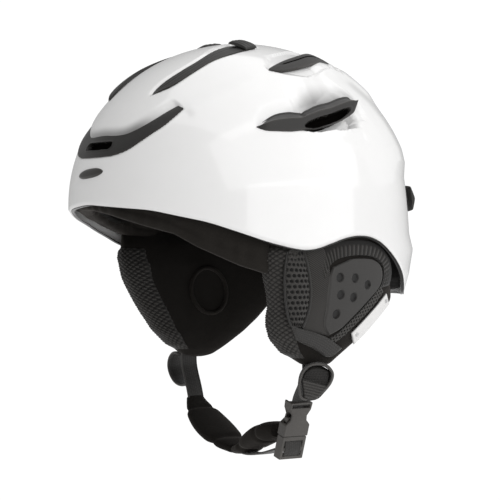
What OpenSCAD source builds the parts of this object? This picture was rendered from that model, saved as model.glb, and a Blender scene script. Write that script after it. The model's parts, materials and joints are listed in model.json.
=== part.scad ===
// Ski helmet with ear pads, sliding crown vents, rear goggle clip and buckled chin strap.
// +Z up, -Y front, +X the wearer's left. Origin mid-length, on the symmetry plane, at brow-rim height.

/* [Shell] */
// Half of the shell's outside width, mm
half_w = 108; // [105:1:110]
// Half of the shell's outside length, mm
half_l = 139; // [136:1:141]
// Height of the crown over the brow rim, mm
crown_h = 123; // [120:1:126]
// Squareness of the shell seen from above, 2 is an ellipse
plan_n = 2.1; // [2.0:0.05:2.2]
// Thickness of the hard shell, mm
shell_t = 2.2; // [1.8:0.1:2.4]
// Thickness of the foam liner, mm
liner_t = 19; // [17:1:20]

/* [Vents] */
// How far the vent trims stand out of the shell, mm
trim_top = 1.4; // [1:0.1:2]
// Travel of each crown vent shutter, mm
shutter_travel = 8; // [6:1:8]

/* [Ear pads] */
// Thickness of an ear pad at its middle, mm
pad_t = 26; // [22:1:28]
// Radius of the six holes in each ear cover, mm
ear_hole_r = 3.2; // [2.6:0.1:3.4]

/* [Chin strap] */
// Width of the webbing, mm
web_w = 15; // [14:1:16]
// Thickness of the webbing, mm
web_t = 1.6; // [1.4:0.1:1.8]
// Width of the side-release buckle, mm
buckle_w = 22; // [21:1:23]

/* [Fit system] */
// Radius of the fit dial, mm
dial_r = 13; // [11:1:13]

/* [Hidden] */
$fn = 48;
gap = 0.9;
lift = 0.25;
liner_o = shell_t + 1;
liner_in = liner_o + liner_t;
dial_y = 109.2;
stem_x = 21.5;
stem_y = -11;
clip_y = 140.6;
clip_z = 21.5;
// rim height (mm) against angle from the front (degrees)
rim_table = [[0, -1], [30, -5.5], [50, -14], [62, -22.5], [70, -29], [79, -33.5], [84, -31],
             [90, -27.5], [95, -25], [101, -23.5], [107, -25], [112, -29], [117, -36], [123, -43],
             [128, -51], [134, -62], [145, -66], [180, -66]];
// lower edge of the foam: it is cut away over the ears
foam_table = [[0, 2], [40, -4], [58, -12], [68, -10], [80, -6], [120, -6], [128, -14], [136, -52],
              [145, -62], [180, -62]];
// section size at the back of the head against height: a hollow at the clip and a kick at the nape
rear_table = [[-66, 0.94], [-52, 0.975], [-33, 1], [-21, 0.977], [-6, 0.969], [6, 0.962], [22, 0.945],
              [34, 0.952], [44, 0.934]];
// ear pad: front edge, rear edge, depth under the shell surface, thickness share, all against height
pad_front = [[-119, 4], [-113, -4], [-106, -12], [-96, -22], [-82, -32], [-68, -40], [-55, -47], [-40, -51],
             [-18, -48]];
pad_rear = [[-119, 14], [-112, 24], [-101, 40], [-89, 57], [-76, 72], [-66, 79], [-56, 79], [-40, 70],
            [-18, 56]];
pad_under = [[-119, 23], [-95, 14], [-75, 9], [-60, 6.5], [-40, 4.6], [-18, 5.5]];
pad_share = [[-119, 0.4], [-112, 0.68], [-100, 0.9], [-80, 1], [-45, 1], [-28, 0.8], [-18, 0.4]];
strap_y = 3;
strap_x = 79;
strap_z = -110;
pad_fold = [92, 16, -41];
buckle_at = [58.5, strap_y, -166];
buckle_tilt = 18;
white = [0.93, 0.93, 0.93];
black = [0.16, 0.155, 0.15];
soft = [0.07, 0.06, 0.06];
web_c = [0.12, 0.11, 0.11];
foam_c = [0.1, 0.1, 0.1];

function spow(c, p) = sign(c) * pow(abs(c), p);
function ease(k) = let (c = min(max(k, 0), 1)) c * c * (3 - 2 * c);
function wrap(t) = t > 180 ? 360 - t : t;
// through the points p, at u from 0 to 1
function spline(p, u) =
    let (n = len(p) - 1, x = min(u * n, n - 0.000001), i = floor(x), f = x - i,
         a = p[max(i - 1, 0)], b = p[i], c = p[min(i + 1, n)], d = p[min(i + 2, n)])
    b + 0.5 * f * ((c - a) + f * ((2 * a - 5 * b + 4 * c - d) + f * (3 * (b - c) + d - a)));
// share of the full plan size at height z, for a surface h high at the crown
function level(t, z, h) =
    let (side = z > 0 ? sqrt(max(1 - z * z / (h * h), 0)) : 1,
         rear = z > 44 ? side : lookup(z, rear_table) * (h < crown_h ? 0.996 : 1))
    side + (rear - side) * ease((wrap(t) - 112) / 38);
// point of the surface o under the outside, at angle t and height z
function at_z(t, z, o) =
    let (k = level(t, z, crown_h - o))
    [(half_w - o) * k * spow(sin(t), 2 / plan_n), -(half_l - o) * k * spow(cos(t), 2 / plan_n), z];
// the same, s running from the crown (0) to the lower edge e (1)
function skin(t, s, o, e) =
    let (h = crown_h - o, last = e > 0 ? acos(e / h) : 90 - e / h * 180 / PI, a = s * last,
         z = a < 90 ? h * cos(a) : (90 - a) * h * PI / 180)
    at_z(t, z, o);
// p pushed out to the shell's outside, then o beyond it
function on_skin(p, o) =
    let (m = pow(abs(p.x) / half_w, plan_n) + pow(abs(p.y) / half_l, plan_n),
         g = sqrt(pow(m, 2 / plan_n) + pow(p.z / crown_h, 2)))
    p / g + o * p / norm(p);
// outside of the ear pad at y, z, then d further out
function on_pad(y, z, d) =
    let (u = lookup(z, pad_under), w = half_w - u, l = half_l - u)
    [w * pow(1 - pow(abs(y) / l, plan_n), 1 / plan_n) + d, y, z];
// closed rings of points, one after another, with a flat lid at each end
module loft(rings) {
    n = len(rings[0]);
    m = len(rings);
    mid = [for (r = [rings[0], rings[m - 1]])
        [for (k = [0:2]) let (v = [for (p = r) p[k]]) (min(v) + max(v)) / 2]];
    walls = [for (i = [0:m - 2], j = [0:n - 1], h = [0, 1])
        let (a = i * n + j, b = i * n + (j + 1) % n) h == 0 ? [a, b, b + n] : [a, b + n, a + n]];
    lids = [for (j = [0:n - 1], h = [0, 1])
        h == 0 ? [m * n, (j + 1) % n, j] : [m * n + 1, (m - 1) * n + j, (m - 1) * n + (j + 1) % n]];
    polyhedron(concat([for (r = rings, p = r) p], mid), concat(walls, lids), convexity = 6);
}
// solid between two surfaces given as rows of points
module sheet(top, low) {
    m = len(top);
    rings = [for (i = [0:m - 1]) concat(top[i], [for (j = [len(low[i]) - 1:-1:0]) low[i][j]])];
    loft(rings);
}
// solid between the surfaces o1 and o2 under the outside, all round, down to the edge in the table
module dome(o1, o2, edge, lift, nt, ns) {
    ts = [for (i = [0:nt - 1]) i * 360 / nt];
    rows = [for (o = [o1, o2]) [for (s = [1:ns], t = ts) skin(t, s / ns, o, lookup(wrap(t), edge) + lift)]];
    pts = concat(rows[0], rows[1], [[0, 0, crown_h - o1], [0, 0, crown_h - o2]]);
    h = nt * ns;
    walls = [for (i = [0:ns - 2], j = [0:nt - 1], k = [0, 1])
        let (a = i * nt + j, b = i * nt + (j + 1) % nt) k == 0 ? [a, b, b + nt] : [a, b + nt, a + nt]];
    inner = [for (f = walls) [f[0] + h, f[2] + h, f[1] + h]];
    poles = [for (j = [0:nt - 1], k = [0, 1])
        k == 0 ? [2 * h, (j + 1) % nt, j] : [2 * h + 1, h + j, h + (j + 1) % nt]];
    rim = [for (j = [0:nt - 1], k = [0, 1])
        let (a = (ns - 1) * nt + j, b = (ns - 1) * nt + (j + 1) % nt)
        k == 0 ? [a, b, b + h] : [a, b + h, a + h]];
    polyhedron(pts, concat(walls, inner, poles, rim), convexity = 6);
}
// pad following the inside of the helmet: angles t0..t1, heights z0..z1, depths o1..o2
module band(t0, t1, z0, z1, o1, o2, nt, nz) {
    rows = function (o, i, sink) [for (j = [0:nz]) let (r = i == 0 || i == nt || j == 0 || j == nz)
        at_z(t0 + (t1 - t0) * i / nt, z0 + (z1 - z0) * j / nz, r ? o - sink : o)];
    sheet([for (i = [0:nt]) rows(o1, i, 0)], [for (i = [0:nt]) rows(o2, i, (o2 - o1) * 0.35)]);
}
// trim on the shell between two edges, top above the surface and low below it
module trim(a, b, top, low, nu, nv) {
    grid = function (o, drop) [for (i = [0:nu]) [for (j = [0:nv])
        let (p = spline(a, i / nu), q = spline(b, i / nu), e = j == 0 || j == nv)
        on_skin(p + (q - p) * j / nv, e ? o - drop : o)]];
    sheet(grid(top, max(top, 0) * 0.6), grid(-low, 0));
}
// plate on the outside of the ear pad between two edges of [y, z] points
module pad_trim(a, b, low, top, nu, nv) {
    grid = function (d) [for (i = [0:nu]) [for (j = [0:nv])
        let (p = spline(a, i / nu), q = spline(b, i / nu), m = p + (q - p) * j / nv)
        on_pad(m[0], m[1], d)]];
    sheet(grid(top), grid(low));
}
module both() {
    children();
    mirror([1, 0, 0]) children();
}
module right_side() {
    mirror([1, 0, 0]) children();
}
// rod of round ends between two points
module rod(a, b, r) {
    hull() {
        translate(a) sphere(r, $fn = 8);
        translate(b) sphere(r, $fn = 8);
    }
}

// guide points of the trims on the wearer's left
front_low = [[0, -133, 33], [12, -133, 33], [23, -131, 34], [33, -126, 37], [43, -119, 46], [52, -106, 55],
             [57, -94, 67]];
front_high = [[0, -128, 48.5], [11, -127, 48], [19, -126, 48], [27, -123, 49], [36, -117, 53], [45, -106, 62],
              [52, -95, 71]];
crown_out = [[28, -104, 76], [37, -92, 83], [40, -76, 93], [39, -58, 103], [38, -40, 110], [33, -6, 118]];
crown_in = [[26, -104, 77], [28, -92, 86], [31, -76, 97], [29, -56, 108], [22, -36, 116], [10, -4, 123]];
arch_low = [[68, -24, 93], [66, 0, 98], [60, 20, 101], [51, 38, 104], [44, 54, 104], [42, 68, 103]];
arch_high = [[63, -25, 97], [56, -4, 106], [46, 16, 111], [38, 33, 112], [36, 48, 112], [40, 68, 104]];
side_low = [[89, -53, 52], [95, -37, 51], [97, -20, 52], [97, -3, 54], [94, 15, 58], [88, 33, 65],
            [78, 48, 75]];
side_high = [[89, -53, 54], [89, -36, 63], [90, -20, 65], [88, 0, 70], [84, 20, 75], [78, 38, 80],
             [76, 49, 77]];

// airways cut through shell and foam, r the half width
module airways(r) {
    for (m = [0, 1]) mirror([m, 0, 0]) {
        for (i = [0:4]) hull() for (k = [i, i + 1]) {
            p = (front_low[k] + front_high[k]) / 2;
            rod(p * 0.7, p * 1.06, k == 5 ? r * 0.8 : r);
        }
        for (i = [1:3]) hull() for (k = [i, i + 1]) {
            p = (crown_out[k] + crown_in[k]) / 2;
            rod(p * 0.72, p * 1.06, r * 0.9);
        }
        hull() for (k = [1, 2, 3, 4]) {
            p = (arch_low[k] + arch_high[k]) / 2;
            rod(p * 0.78, p * 1.06, r * 0.6);
        }
        hull() for (k = [1, 3, 5]) {
            p = (side_low[k] + side_high[k]) / 2;
            rod(p * 0.76, p * 1.06, r * 0.8);
        }
    }
}
// path of each shutter's stem through the shell
module stem_slots(r) {
    both() hull() for (k = [0, 1]) translate([stem_x, stem_y + 1 - (shutter_travel + 2) * k, 100])
        cylinder(r = r, h = 40, $fn = 16);
}

module outer_shell() {
    color(white) difference() {
        dome(0, shell_t, rim_table, 0, 64, 15);
        airways(4.6);
        stem_slots(3.4);
    }
}
module foam_liner() {
    color(foam_c) difference() {
        dome(liner_o, liner_in, foam_table, 0, 44, 11);
        airways(3.6);
        both() translate([stem_x, stem_y - 4, 111]) rotate([6, 8, 0]) cube([20, 40, 12], center = true);
        translate([0, 120, -55]) cube([46, 60, 56], center = true);
    }
}
// rolled bead under the shell's lower edge
module rim_edge() {
    color(black) hoop([for (i = [0:63]) let (t = i * 360 / 64, z = lookup(wrap(t), rim_table)) [
        at_z(t, z - 0.1, 3.1), at_z(t, z - 1.7, 2.9), at_z(t, z - 1.7, -0.3), at_z(t, z - 0.1, -0.5)]]);
}

// black plastic round the airways
module front_vent_frame() {
    a = concat([for (i = [6:-1:1]) [-front_low[i].x, front_low[i].y, front_low[i].z]], front_low);
    b = concat([for (i = [6:-1:1]) [-front_high[i].x, front_high[i].y, front_high[i].z]], front_high);
    color(black) difference() {
        trim(a, b, trim_top, -lift, 26, 4);
        hull() for (s = [-1, 1]) rod([s * 15, -105, 42 * 105 / 132], [s * 15, -145, 46], 2.6);
        both() hull() for (k = [3, 4, 5]) {
            p = (front_low[k] + front_high[k]) / 2;
            rod(p * 0.9, p * 1.1, 1.6);
        }
    }
}
module front_vent_mesh() {
    color(soft) trim([[-13, -131, 38.4], [0, -132, 38.4], [13, -131, 38.4]],
        [[-13, -129, 43.2], [0, -130, 43.2], [13, -129, 43.2]], -1, shell_t - 0.4, 8, 2);
}
module crown_vent(s) {
    lo = [for (p = crown_out) [s * p.x, p.y, p.z]];
    hi = [for (p = crown_in) [s * p.x, p.y, p.z]];
    difference() {
        trim(s > 0 ? lo : hi, s > 0 ? hi : lo, trim_top, -lift, 14, 4);
        hull() for (k = [1.4, 3.4]) {
            p = (spline(lo, k / 5) + spline(hi, k / 5)) / 2;
            rod(p * 0.9, p * 1.1, 3);
        }
        stem_slots(2.4);
    }
}
module crown_vent_left() {
    color(black) crown_vent(1);
}
module crown_vent_right() {
    color(black) crown_vent(-1);
}
// flat shutter under the shell with a stem and a thumb pad above it
module shutter() {
    translate([stem_x, stem_y, 118.7]) rotate([6, 8, 0]) {
        translate([0, -1, -5.6]) cube([13, 24, 1.2], center = true);
        translate([0, 0, -5.1]) cylinder(r = 1.7, h = 9.4);
        translate([0, 0, 4.3]) minkowski() {
            cube([16, 7, 0.6], center = true);
            cylinder(r = 2, h = 1.4, $fn = 16);
        }
    }
}
module vent_slider_left() {
    color(black) shutter();
}
module vent_slider_right() {
    color(black) right_side() shutter();
}
module side_vent() {
    difference() {
        trim(side_low, side_high, trim_top, -lift, 14, 4);
        for (i = [1, 3]) hull() for (k = [i, i + 2]) {
            p = side_low[k] * 0.42 + side_high[k] * 0.58;
            rod(p * 0.9, p * 1.1, 1.7);
        }
    }
}
module side_vent_left() {
    color(black) side_vent();
}
module side_vent_right() {
    color(black) right_side() side_vent();
}
module arch_vent() {
    difference() {
        trim(arch_low, arch_high, trim_top + 1.2, -lift, 12, 4);
        hull() for (k = [1, 3]) {
            p = (arch_low[k] + arch_high[k]) / 2;
            rod(p * 0.9, p * 1.1, 1.6);
        }
    }
}
module rear_vent_left() {
    color(black) arch_vent();
}
module rear_vent_right() {
    color(black) right_side() arch_vent();
}
// plain raised badge on the brow
module front_badge() {
    color([0.35, 0.35, 0.36]) trim([[-16, -137, 18], [0, -138, 17.5], [16, -137, 18]],
        [[-16, -137, 25], [0, -138, 25.5], [16, -137, 25]], 1, -lift, 8, 2);
}

// comfort pads inside the foam
module brow_pad() {
    color(soft) band(-58, 58, 4, 34, liner_in + gap, liner_in + 9, 16, 4);
}
module crown_pad() {
    color(soft) intersection() {
        dome(liner_in + gap, liner_in + 7, [[0, 20], [180, 20]], 0, 32, 10);
        hull() for (y = [-22, 26]) translate([0, y, 60]) cylinder(r = 30, h = 60, $fn = 32);
    }
}
module side_pad() {
    band(72, 108, 6, 34, liner_in + gap, liner_in + 8, 8, 4);
}
module side_pad_left() {
    color(soft) side_pad();
}
module side_pad_right() {
    color(soft) right_side() side_pad();
}

// adjustable nape cradle: the band slides forward as the dial turns
module fit_cradle() {
    color(black) band(140, 220, -52, -34, liner_in + 9, liner_in + 11, 14, 2);
}
module nape_pad() {
    color(soft) band(146, 214, -56, -30, liner_in + 11 + gap, liner_in + 17, 12, 3);
}
module dial_housing() {
    color(black) translate([0, dial_y, -44]) rotate([-90, 0, 0]) difference() {
        union() {
            cylinder(r = dial_r + 4, h = 4.4);
            translate([0, 0, 2.2]) cube([45, 12, 4.4], center = true);
        }
        translate([0, 0, 2.2]) cylinder(r = dial_r + 0.6, h = 8);
        translate([0, 0, -2]) cylinder(r = 3.05, h = 20);
    }
}
module fit_dial() {
    color([0.2, 0.2, 0.2]) translate([0, dial_y, -44]) rotate([-90, 0, 0]) {
        translate([0, 0, 2.7]) difference() {
            cylinder(r = dial_r, h = 9);
            for (a = [0:30:330]) rotate(a) translate([dial_r + 0.8, 0, -1]) cylinder(r = 1.8, h = 12);
        }
        translate([0, 0, 0.4]) cylinder(r = 3, h = 3);
    }
}

// goggle clip at the back: a wide lever hung on a pin, standing clear of the shell for the strap
module knuckle(x, w, r) {
    translate([x, clip_y, clip_z]) rotate([0, 90, 0]) cylinder(r = r, h = w, center = true);
}
module clip_base() {
    color(black) difference() {
        union() {
            for (s = [-1, 1]) {
                knuckle(s * 15, 5, 2.8);
                translate([s * 15, clip_y - 3.4, clip_z]) cube([5, 6.8, 5.6], center = true);
            }
            translate([0, clip_y - 6.2, clip_z]) cube([35, 2.6, 9], center = true);
        }
        knuckle(0, 60, 1.05);
    }
}
module clip_pin() {
    color([0.6, 0.6, 0.62]) knuckle(0, 34.6, 1);
}
module clip_lever() {
    rows = function (o, bulge) [for (t = [153:4.5:207]) [for (z = [-4, 1.5, 7, 11.5, 16])
        at_z(t, z, -o - bulge * (1 - pow((z - 7) / 11, 2)))]];
    color(black) difference() {
        union() {
            sheet(rows(7.4, 3.6), rows(6.5, 0.4));
            knuckle(0, 24.2, 2.6);
            translate([0, clip_y + 1.2, clip_z - 3.6]) cube([24.2, 2.8, 7.2], center = true);
        }
        knuckle(0, 60, 1.06);
    }
}

// ear pad body: rings from bottom to top
module cushion() {
    zs = [-118.6, -116.5, -113, -107, -99, -88, -76, -64, -52, -40, -29, -22, -18.4];
    n = 24;
    rings = [for (z = zs) let (f = lookup(z, pad_front), r = lookup(z, pad_rear),
        th = pad_t * lookup(z, pad_share))
        [for (i = [0:n - 1]) let (a = 360 * i / n, k = spow(sin(a), 0.75),
            y = (f + r) / 2 + (r - f) / 2 * spow(cos(a), 0.75)) on_pad(y, z, -th * (0.5 - 0.5 * k))]];
    difference() {
        loft(rings);
        // pocket for the strap's tongue
        translate([strap_x, strap_y, strap_z]) rotate([0, 90, 0]) cylinder(r = 10, h = 2.6, center = true);
        translate([strap_x, strap_y, strap_z - 8]) cube([2.6, 28, 14], center = true);
    }
}
module ear_cushion_left() {
    color(soft) cushion();
}
module ear_cushion_right() {
    color(soft) right_side() cushion();
}
cover_low = [[2, -50], [1.5, -62], [1.5, -76], [2, -88], [9, -94]];
cover_high = [[20, -41], [56, -46], [55, -60], [38, -74], [16, -91]];
module cover() {
    difference() {
        pad_trim(cover_low, cover_high, 0.3, 2.1, 12, 6);
        for (p = [[11, -53.5], [26, -54], [40, -59], [13, -66], [26, -68], [11, -80]])
            translate([80, p[0], p[1]]) rotate([0, 90, 0]) cylinder(r = ear_hole_r, h = 40);
    }
}
module ear_cover_left() {
    color(black) cover();
}
module ear_cover_right() {
    color(black) right_side() cover();
}
module front_mesh() {
    pad_trim([[-42, -41], [-44, -52], [-40, -64], [-34, -76], [-28, -84]],
        [[-22, -40], [-17, -52], [-15, -64], [-15, -76], [-16, -86]], 0.3, 1.5, 8, 3);
}
module ear_mesh_left() {
    color(soft) front_mesh();
}
module ear_mesh_right() {
    color(soft) right_side() front_mesh();
}
module sleeve() {
    pad_trim([[-24, -89], [-8, -93], [6, -98], [18, -103]], [[-18, -97], [-6, -104], [4, -109], [12, -110.5]],
        0.3, 1.9, 8, 3);
}
module strap_sleeve_left() {
    color(web_c) sleeve();
}
module strap_sleeve_right() {
    color(web_c) right_side() sleeve();
}
// blank plate on the lower rear edge of the pad
module plate() {
    pad_trim([[61, -64], [27, -91]], [[66, -71.5], [32, -98.5]], 0.9, 1.8, 6, 1);
}
module ear_plate_left() {
    color(white) plate();
}
module ear_plate_right() {
    color(white) right_side() plate();
}
module rivets() {
    for (p = [[60.5, -70.5], [32.5, -93]]) {
        q = on_pad(p[0], p[1], 0);
        translate([q.x + 2.5, q.y, q.z]) rotate([0, 90, 0]) cylinder(r = 1.5, h = 0.9);
    }
}
module plate_rivets_left() {
    color([0.3, 0.3, 0.3]) rivets();
}
module plate_rivets_right() {
    color([0.3, 0.3, 0.3]) right_side() rivets();
}
// closed ring of four-sided sections, given as a list of four points each
module hoop(sections) {
    n = len(sections);
    polyhedron([for (r = sections, p = r) p], [for (i = [0:n - 1], j = [0:3], k = [0, 1])
        let (a = i * 4 + j, b = i * 4 + (j + 1) % 4, h = ((i + 1) % n) * 4, c = h + j, d = h + (j + 1) % 4)
        k == 0 ? [a, b, d] : [a, d, c]], convexity = 6);
}
// thickness of the ear pad at y, z
function pad_depth(y, z) =
    let (f = lookup(z, pad_front), r = lookup(z, pad_rear), c = min(abs(2 * y - f - r) / (r - f), 1),
         s = sqrt(1 - pow(c, 2 / 0.75)))
    pad_t * lookup(z, pad_share) * (0.5 + 0.5 * pow(s, 0.75));
// piping round the sound mesh on the inner side of the pad
module mesh_ring() {
    at = function (a, k, d) let (y = 18 + k * cos(a), z = -66 + (k + 2) * sin(a))
        on_pad(y, z, -pad_depth(y, z) - d);
    hoop([for (a = [0:15:345]) [at(a, 14.5, 0.6), at(a, 14.5, 2.4), at(a, 17.5, 2.4), at(a, 17.5, 0.6)]]);
}
module ear_ring_left() {
    color(black) mesh_ring();
}
module ear_ring_right() {
    color(black) right_side() mesh_ring();
}
// plastic tongue that snaps behind the foam
module tab() {
    q = on_pad(4, -18, 0);
    translate([q.x - 8, q.y, -12.8]) difference() {
        cube([2.4, 34, 10.6], center = true);
        for (s = [-1, 1]) translate([0, s * 10, 1]) rotate([0, 90, 0])
            cylinder(r = 2.5, h = 10, center = true);
    }
}
module ear_tab_left() {
    color(black) tab();
}
module ear_tab_right() {
    color(black) right_side() tab();
}

// webbing piece from a to b in the x-z plane, w wide along y
module web(a, b, w, t) {
    hull() for (p = [a, b]) translate([p[0], strap_y, p[1]]) rotate([90, 0, 0])
        cylinder(r = t / 2, h = w, center = true, $fn = 16);
}
module tongue() {
    translate([strap_x, strap_y, strap_z]) rotate([0, 90, 0]) cylinder(r = 9, h = web_t, center = true);
    web([strap_x, strap_z - 2], [strap_x, -121], web_w, web_t);
}
module strap_left() {
    color(web_c) union() {
        tongue();
        web([strap_x, -121], [74, -131], web_w, web_t);
        web([74, -131], [67.3, -142.3], web_w, web_t);
    }
}
module strap_right() {
    color(web_c) mirror([1, 0, 0]) union() {
        tongue();
        web([strap_x, -121], [75, -134], web_w, web_t);
        web([75, -134], [70, -146], web_w, web_t);
    }
}
// loose end of the webbing folded into a loop on the outer side of the strap
module tail(path) {
    union() for (i = [0:len(path) - 2]) web(path[i], path[i + 1], web_w, web_t - 0.2);
}
tail_path = [[80.8, -126], [83, -123.8], [88, -123.2], [92.6, -125.4], [94.8, -130.5], [94, -136.5],
    [89.6, -141.6], [82, -145], [73.5, -145.6], [69.6, -145]];
module strap_tail_left() {
    color(web_c) tail(tail_path);
}
module strap_tail_right() {
    color(web_c) right_side() tail([for (p = tail_path) [p[0] + 2.4, p[1] - 0.4]]);
}

// side-release buckle in its own axes: x through, y across, z along the strap
module at_buckle() {
    translate(buckle_at) rotate([0, buckle_tilt, 0]) children();
}
module buckle_housing() {
    w = buckle_w / 2;
    color(black) at_buckle() difference() {
        rotate([90, 0, 90]) linear_extrude(8.6, center = true)
            polygon([[-w, -4], [-w, 5], [-w + 3.6, 8.5], [-w + 4.2, 12], [-w + 1.5, 17], [-w + 1, 22.5],
                [w - 1, 22.5], [w - 1.5, 17], [w - 4.2, 12], [w - 3.6, 8.5], [w, 5], [w, -4]]);
        translate([0, 0, 4.5]) cube([4.8, buckle_w - 2.4, 18], center = true);
        translate([0, 0, 19.5]) cube([20, web_w + 1.4, 2.8], center = true);
        translate([-3.2, 0, 21]) cube([4, web_w + 1.4, 8], center = true);
    }
}
module buckle_frame() {
    w = buckle_w / 2;
    color(black) at_buckle() difference() {
        union() {
            translate([0, 0, -13.4]) cube([7.6, buckle_w - 0.6, 18], center = true);
            translate([0, 0, 1.5]) cube([3.6, 4.4, 13], center = true);
        }
        translate([0, 0, -10.4]) cube([20, web_w + 1.6, 5], center = true);
        translate([0, 0, -18]) cube([20, web_w + 1.6, 4], center = true);
    }
}
module prong(s) {
    at_buckle() translate([0, s * 6.4, -4.1]) {
        hull() {
            translate([-1.8, -1.2, 0]) cube([3.6, 2.4, 1]);
            translate([-1.8, -1.2, 8]) cube([3.6, 2.4, 1]);
        }
        hull() {
            translate([-1.8, -1.2, 8]) cube([3.6, 2.4, 1]);
            translate([-1.8, s > 0 ? 0 : -2.6, 11]) cube([3.6, 2.6, 3.4]);
        }
    }
}
module buckle_prong_front() {
    color(black) prong(-1);
}
module buckle_prong_rear() {
    color(black) prong(1);
}
// padded tube along stations of [x, z, width, thickness]
module padded_tube(pts, m, n) {
    loft([for (i = [0:m]) let (p = spline(pts, i / m), q = spline(pts, min(i / m + 0.02, 1)),
        b = spline(pts, max(i / m - 0.02, 0)), d = [q[0] - b[0], q[1] - b[1]], e = d / norm(d))
        [for (j = [0:n - 1])
            let (a = -360 * j / n, u = p[2] / 2 * spow(cos(a), 0.8), v = p[3] / 2 * spow(sin(a), 0.8))
            [p[0] - e[1] * v, strap_y + u, p[1] + e[0] * v]]]);
}
module chin_pad() {
    color(soft) padded_tube([[-70.4, -151, 14, 5], [-66, -156, 22, 8], [-56, -164, 33, 10],
        [-42, -173, 38, 11], [-26, -181, 34, 10], [-10, -186, 22, 8]], 10, 20);
}
// end of the pad's cover, folded back on itself next to the buckle
module chin_tab() {
    color(soft) padded_tube([[-8, -186.2, 20, 8], [2, -184, 26, 10], [14, -178, 30, 12], [26, -173, 30, 13],
        [36, -170, 27, 12], [44, -169, 20, 9]], 9, 20);
}
module web_tail_low() {
    color(web_c) web([-4, -191.6], [44, -186], web_w, web_t);
}

outer_shell();
foam_liner();
rim_edge();
front_vent_frame();
front_vent_mesh();
crown_vent_left();
crown_vent_right();
vent_slider_left();
vent_slider_right();
side_vent_left();
side_vent_right();
rear_vent_left();
rear_vent_right();
front_badge();
brow_pad();
crown_pad();
side_pad_left();
side_pad_right();
fit_cradle();
nape_pad();
dial_housing();
fit_dial();
clip_base();
clip_pin();
clip_lever();
ear_cushion_left();
ear_cushion_right();
ear_cover_left();
ear_cover_right();
ear_mesh_left();
ear_mesh_right();
strap_sleeve_left();
strap_sleeve_right();
ear_plate_left();
ear_plate_right();
plate_rivets_left();
plate_rivets_right();
ear_ring_left();
ear_ring_right();
ear_tab_left();
ear_tab_right();
strap_left();
strap_right();
strap_tail_left();
strap_tail_right();
buckle_housing();
buckle_frame();
buckle_prong_front();
buckle_prong_rear();
chin_pad();
chin_tab();
web_tail_low();
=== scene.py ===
import json
import math
import bmesh
import bpy
import numpy as np
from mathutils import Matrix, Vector


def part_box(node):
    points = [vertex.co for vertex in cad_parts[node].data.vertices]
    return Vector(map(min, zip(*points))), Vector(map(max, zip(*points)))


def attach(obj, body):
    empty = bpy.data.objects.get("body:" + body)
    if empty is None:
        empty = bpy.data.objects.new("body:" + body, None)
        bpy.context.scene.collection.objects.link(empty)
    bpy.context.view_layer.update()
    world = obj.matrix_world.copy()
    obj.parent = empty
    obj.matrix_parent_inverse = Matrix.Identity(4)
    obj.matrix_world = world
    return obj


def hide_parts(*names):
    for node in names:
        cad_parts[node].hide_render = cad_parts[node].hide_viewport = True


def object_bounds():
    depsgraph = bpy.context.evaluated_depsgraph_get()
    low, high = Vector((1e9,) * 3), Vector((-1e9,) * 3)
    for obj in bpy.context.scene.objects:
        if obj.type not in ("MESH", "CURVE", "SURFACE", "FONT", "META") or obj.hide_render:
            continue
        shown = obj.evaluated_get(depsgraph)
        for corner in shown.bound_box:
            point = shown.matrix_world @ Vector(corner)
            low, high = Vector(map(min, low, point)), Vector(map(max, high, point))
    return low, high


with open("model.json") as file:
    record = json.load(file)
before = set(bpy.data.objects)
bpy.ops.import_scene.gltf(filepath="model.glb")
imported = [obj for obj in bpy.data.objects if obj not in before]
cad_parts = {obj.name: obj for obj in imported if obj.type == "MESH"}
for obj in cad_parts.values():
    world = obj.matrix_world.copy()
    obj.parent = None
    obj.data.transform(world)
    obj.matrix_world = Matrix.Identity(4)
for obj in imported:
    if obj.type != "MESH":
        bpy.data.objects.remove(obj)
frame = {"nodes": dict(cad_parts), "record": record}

# everything below is worked out in millimetres and turned to metres when a mesh is made
mm = 0.001
cadLow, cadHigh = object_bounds()
shellLow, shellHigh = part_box("outer_shell")
halfW = shellHigh.x / mm
halfL = -shellLow.y / mm
crownH = shellHigh.z / mm
planPower = 2.1
sides = (("left", 1), ("right", -1))
print("frame loaded:", len(frame["nodes"]), "nodes")

# lower edge of the shell and of the foam: height against angle from the front, degrees
rimPoints = np.array([
    (-30, -5.5), (0, -1), (30, -5.5), (50, -14), (62, -22.5), (70, -28.5), (79, -33.5), (84, -34), (88, -31),
    (92, -27), (96, -24), (102, -22.8), (108, -25), (113, -30), (118, -37), (123, -44), (128, -52.5),
    (133, -63),
    (137, -66.5), (145, -66.5), (210, -66.5)])
foamTable = np.array([
    (0, 2), (40, -4), (58, -12), (68, -10), (80, -6), (120, -6), (128, -14), (136, -52), (145, -62),
    (180, -62)])
# size of the section at the back of the head against height
rearTable = np.array([
    (-66, 0.94), (-52, 0.975), (-33, 1), (-21, 0.977), (-6, 0.969), (6, 0.962), (22, 0.945), (34, 0.952),
    (44, 0.934)])
# ear pad against height: front edge, rear edge, depth under the shell, share of the full thickness
padFront = np.array([
    (-119, 4), (-113, -4), (-106, -12), (-96, -22), (-82, -32), (-68, -40), (-55, -47), (-40, -51),
    (-18, -48)])
padRear = np.array([
    (-119, 14), (-112, 24), (-101, 40), (-89, 57), (-76, 72), (-66, 79), (-56, 79), (-40, 70), (-18, 56)])
padUnder = np.array([(-119, 23), (-95, 14), (-75, 9), (-60, 6.5), (-40, 4.6), (-18, 5.5)])
padShare = np.array([(-119, 0.4), (-112, 0.68), (-100, 0.9), (-80, 1), (-45, 1), (-28, 0.8), (-18, 0.4)])
strapY = 3


# value of a two-column table at x, straight between its rows
def lookup(table, x):
    return np.interp(x, table[:, 0], table[:, 1])


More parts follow.
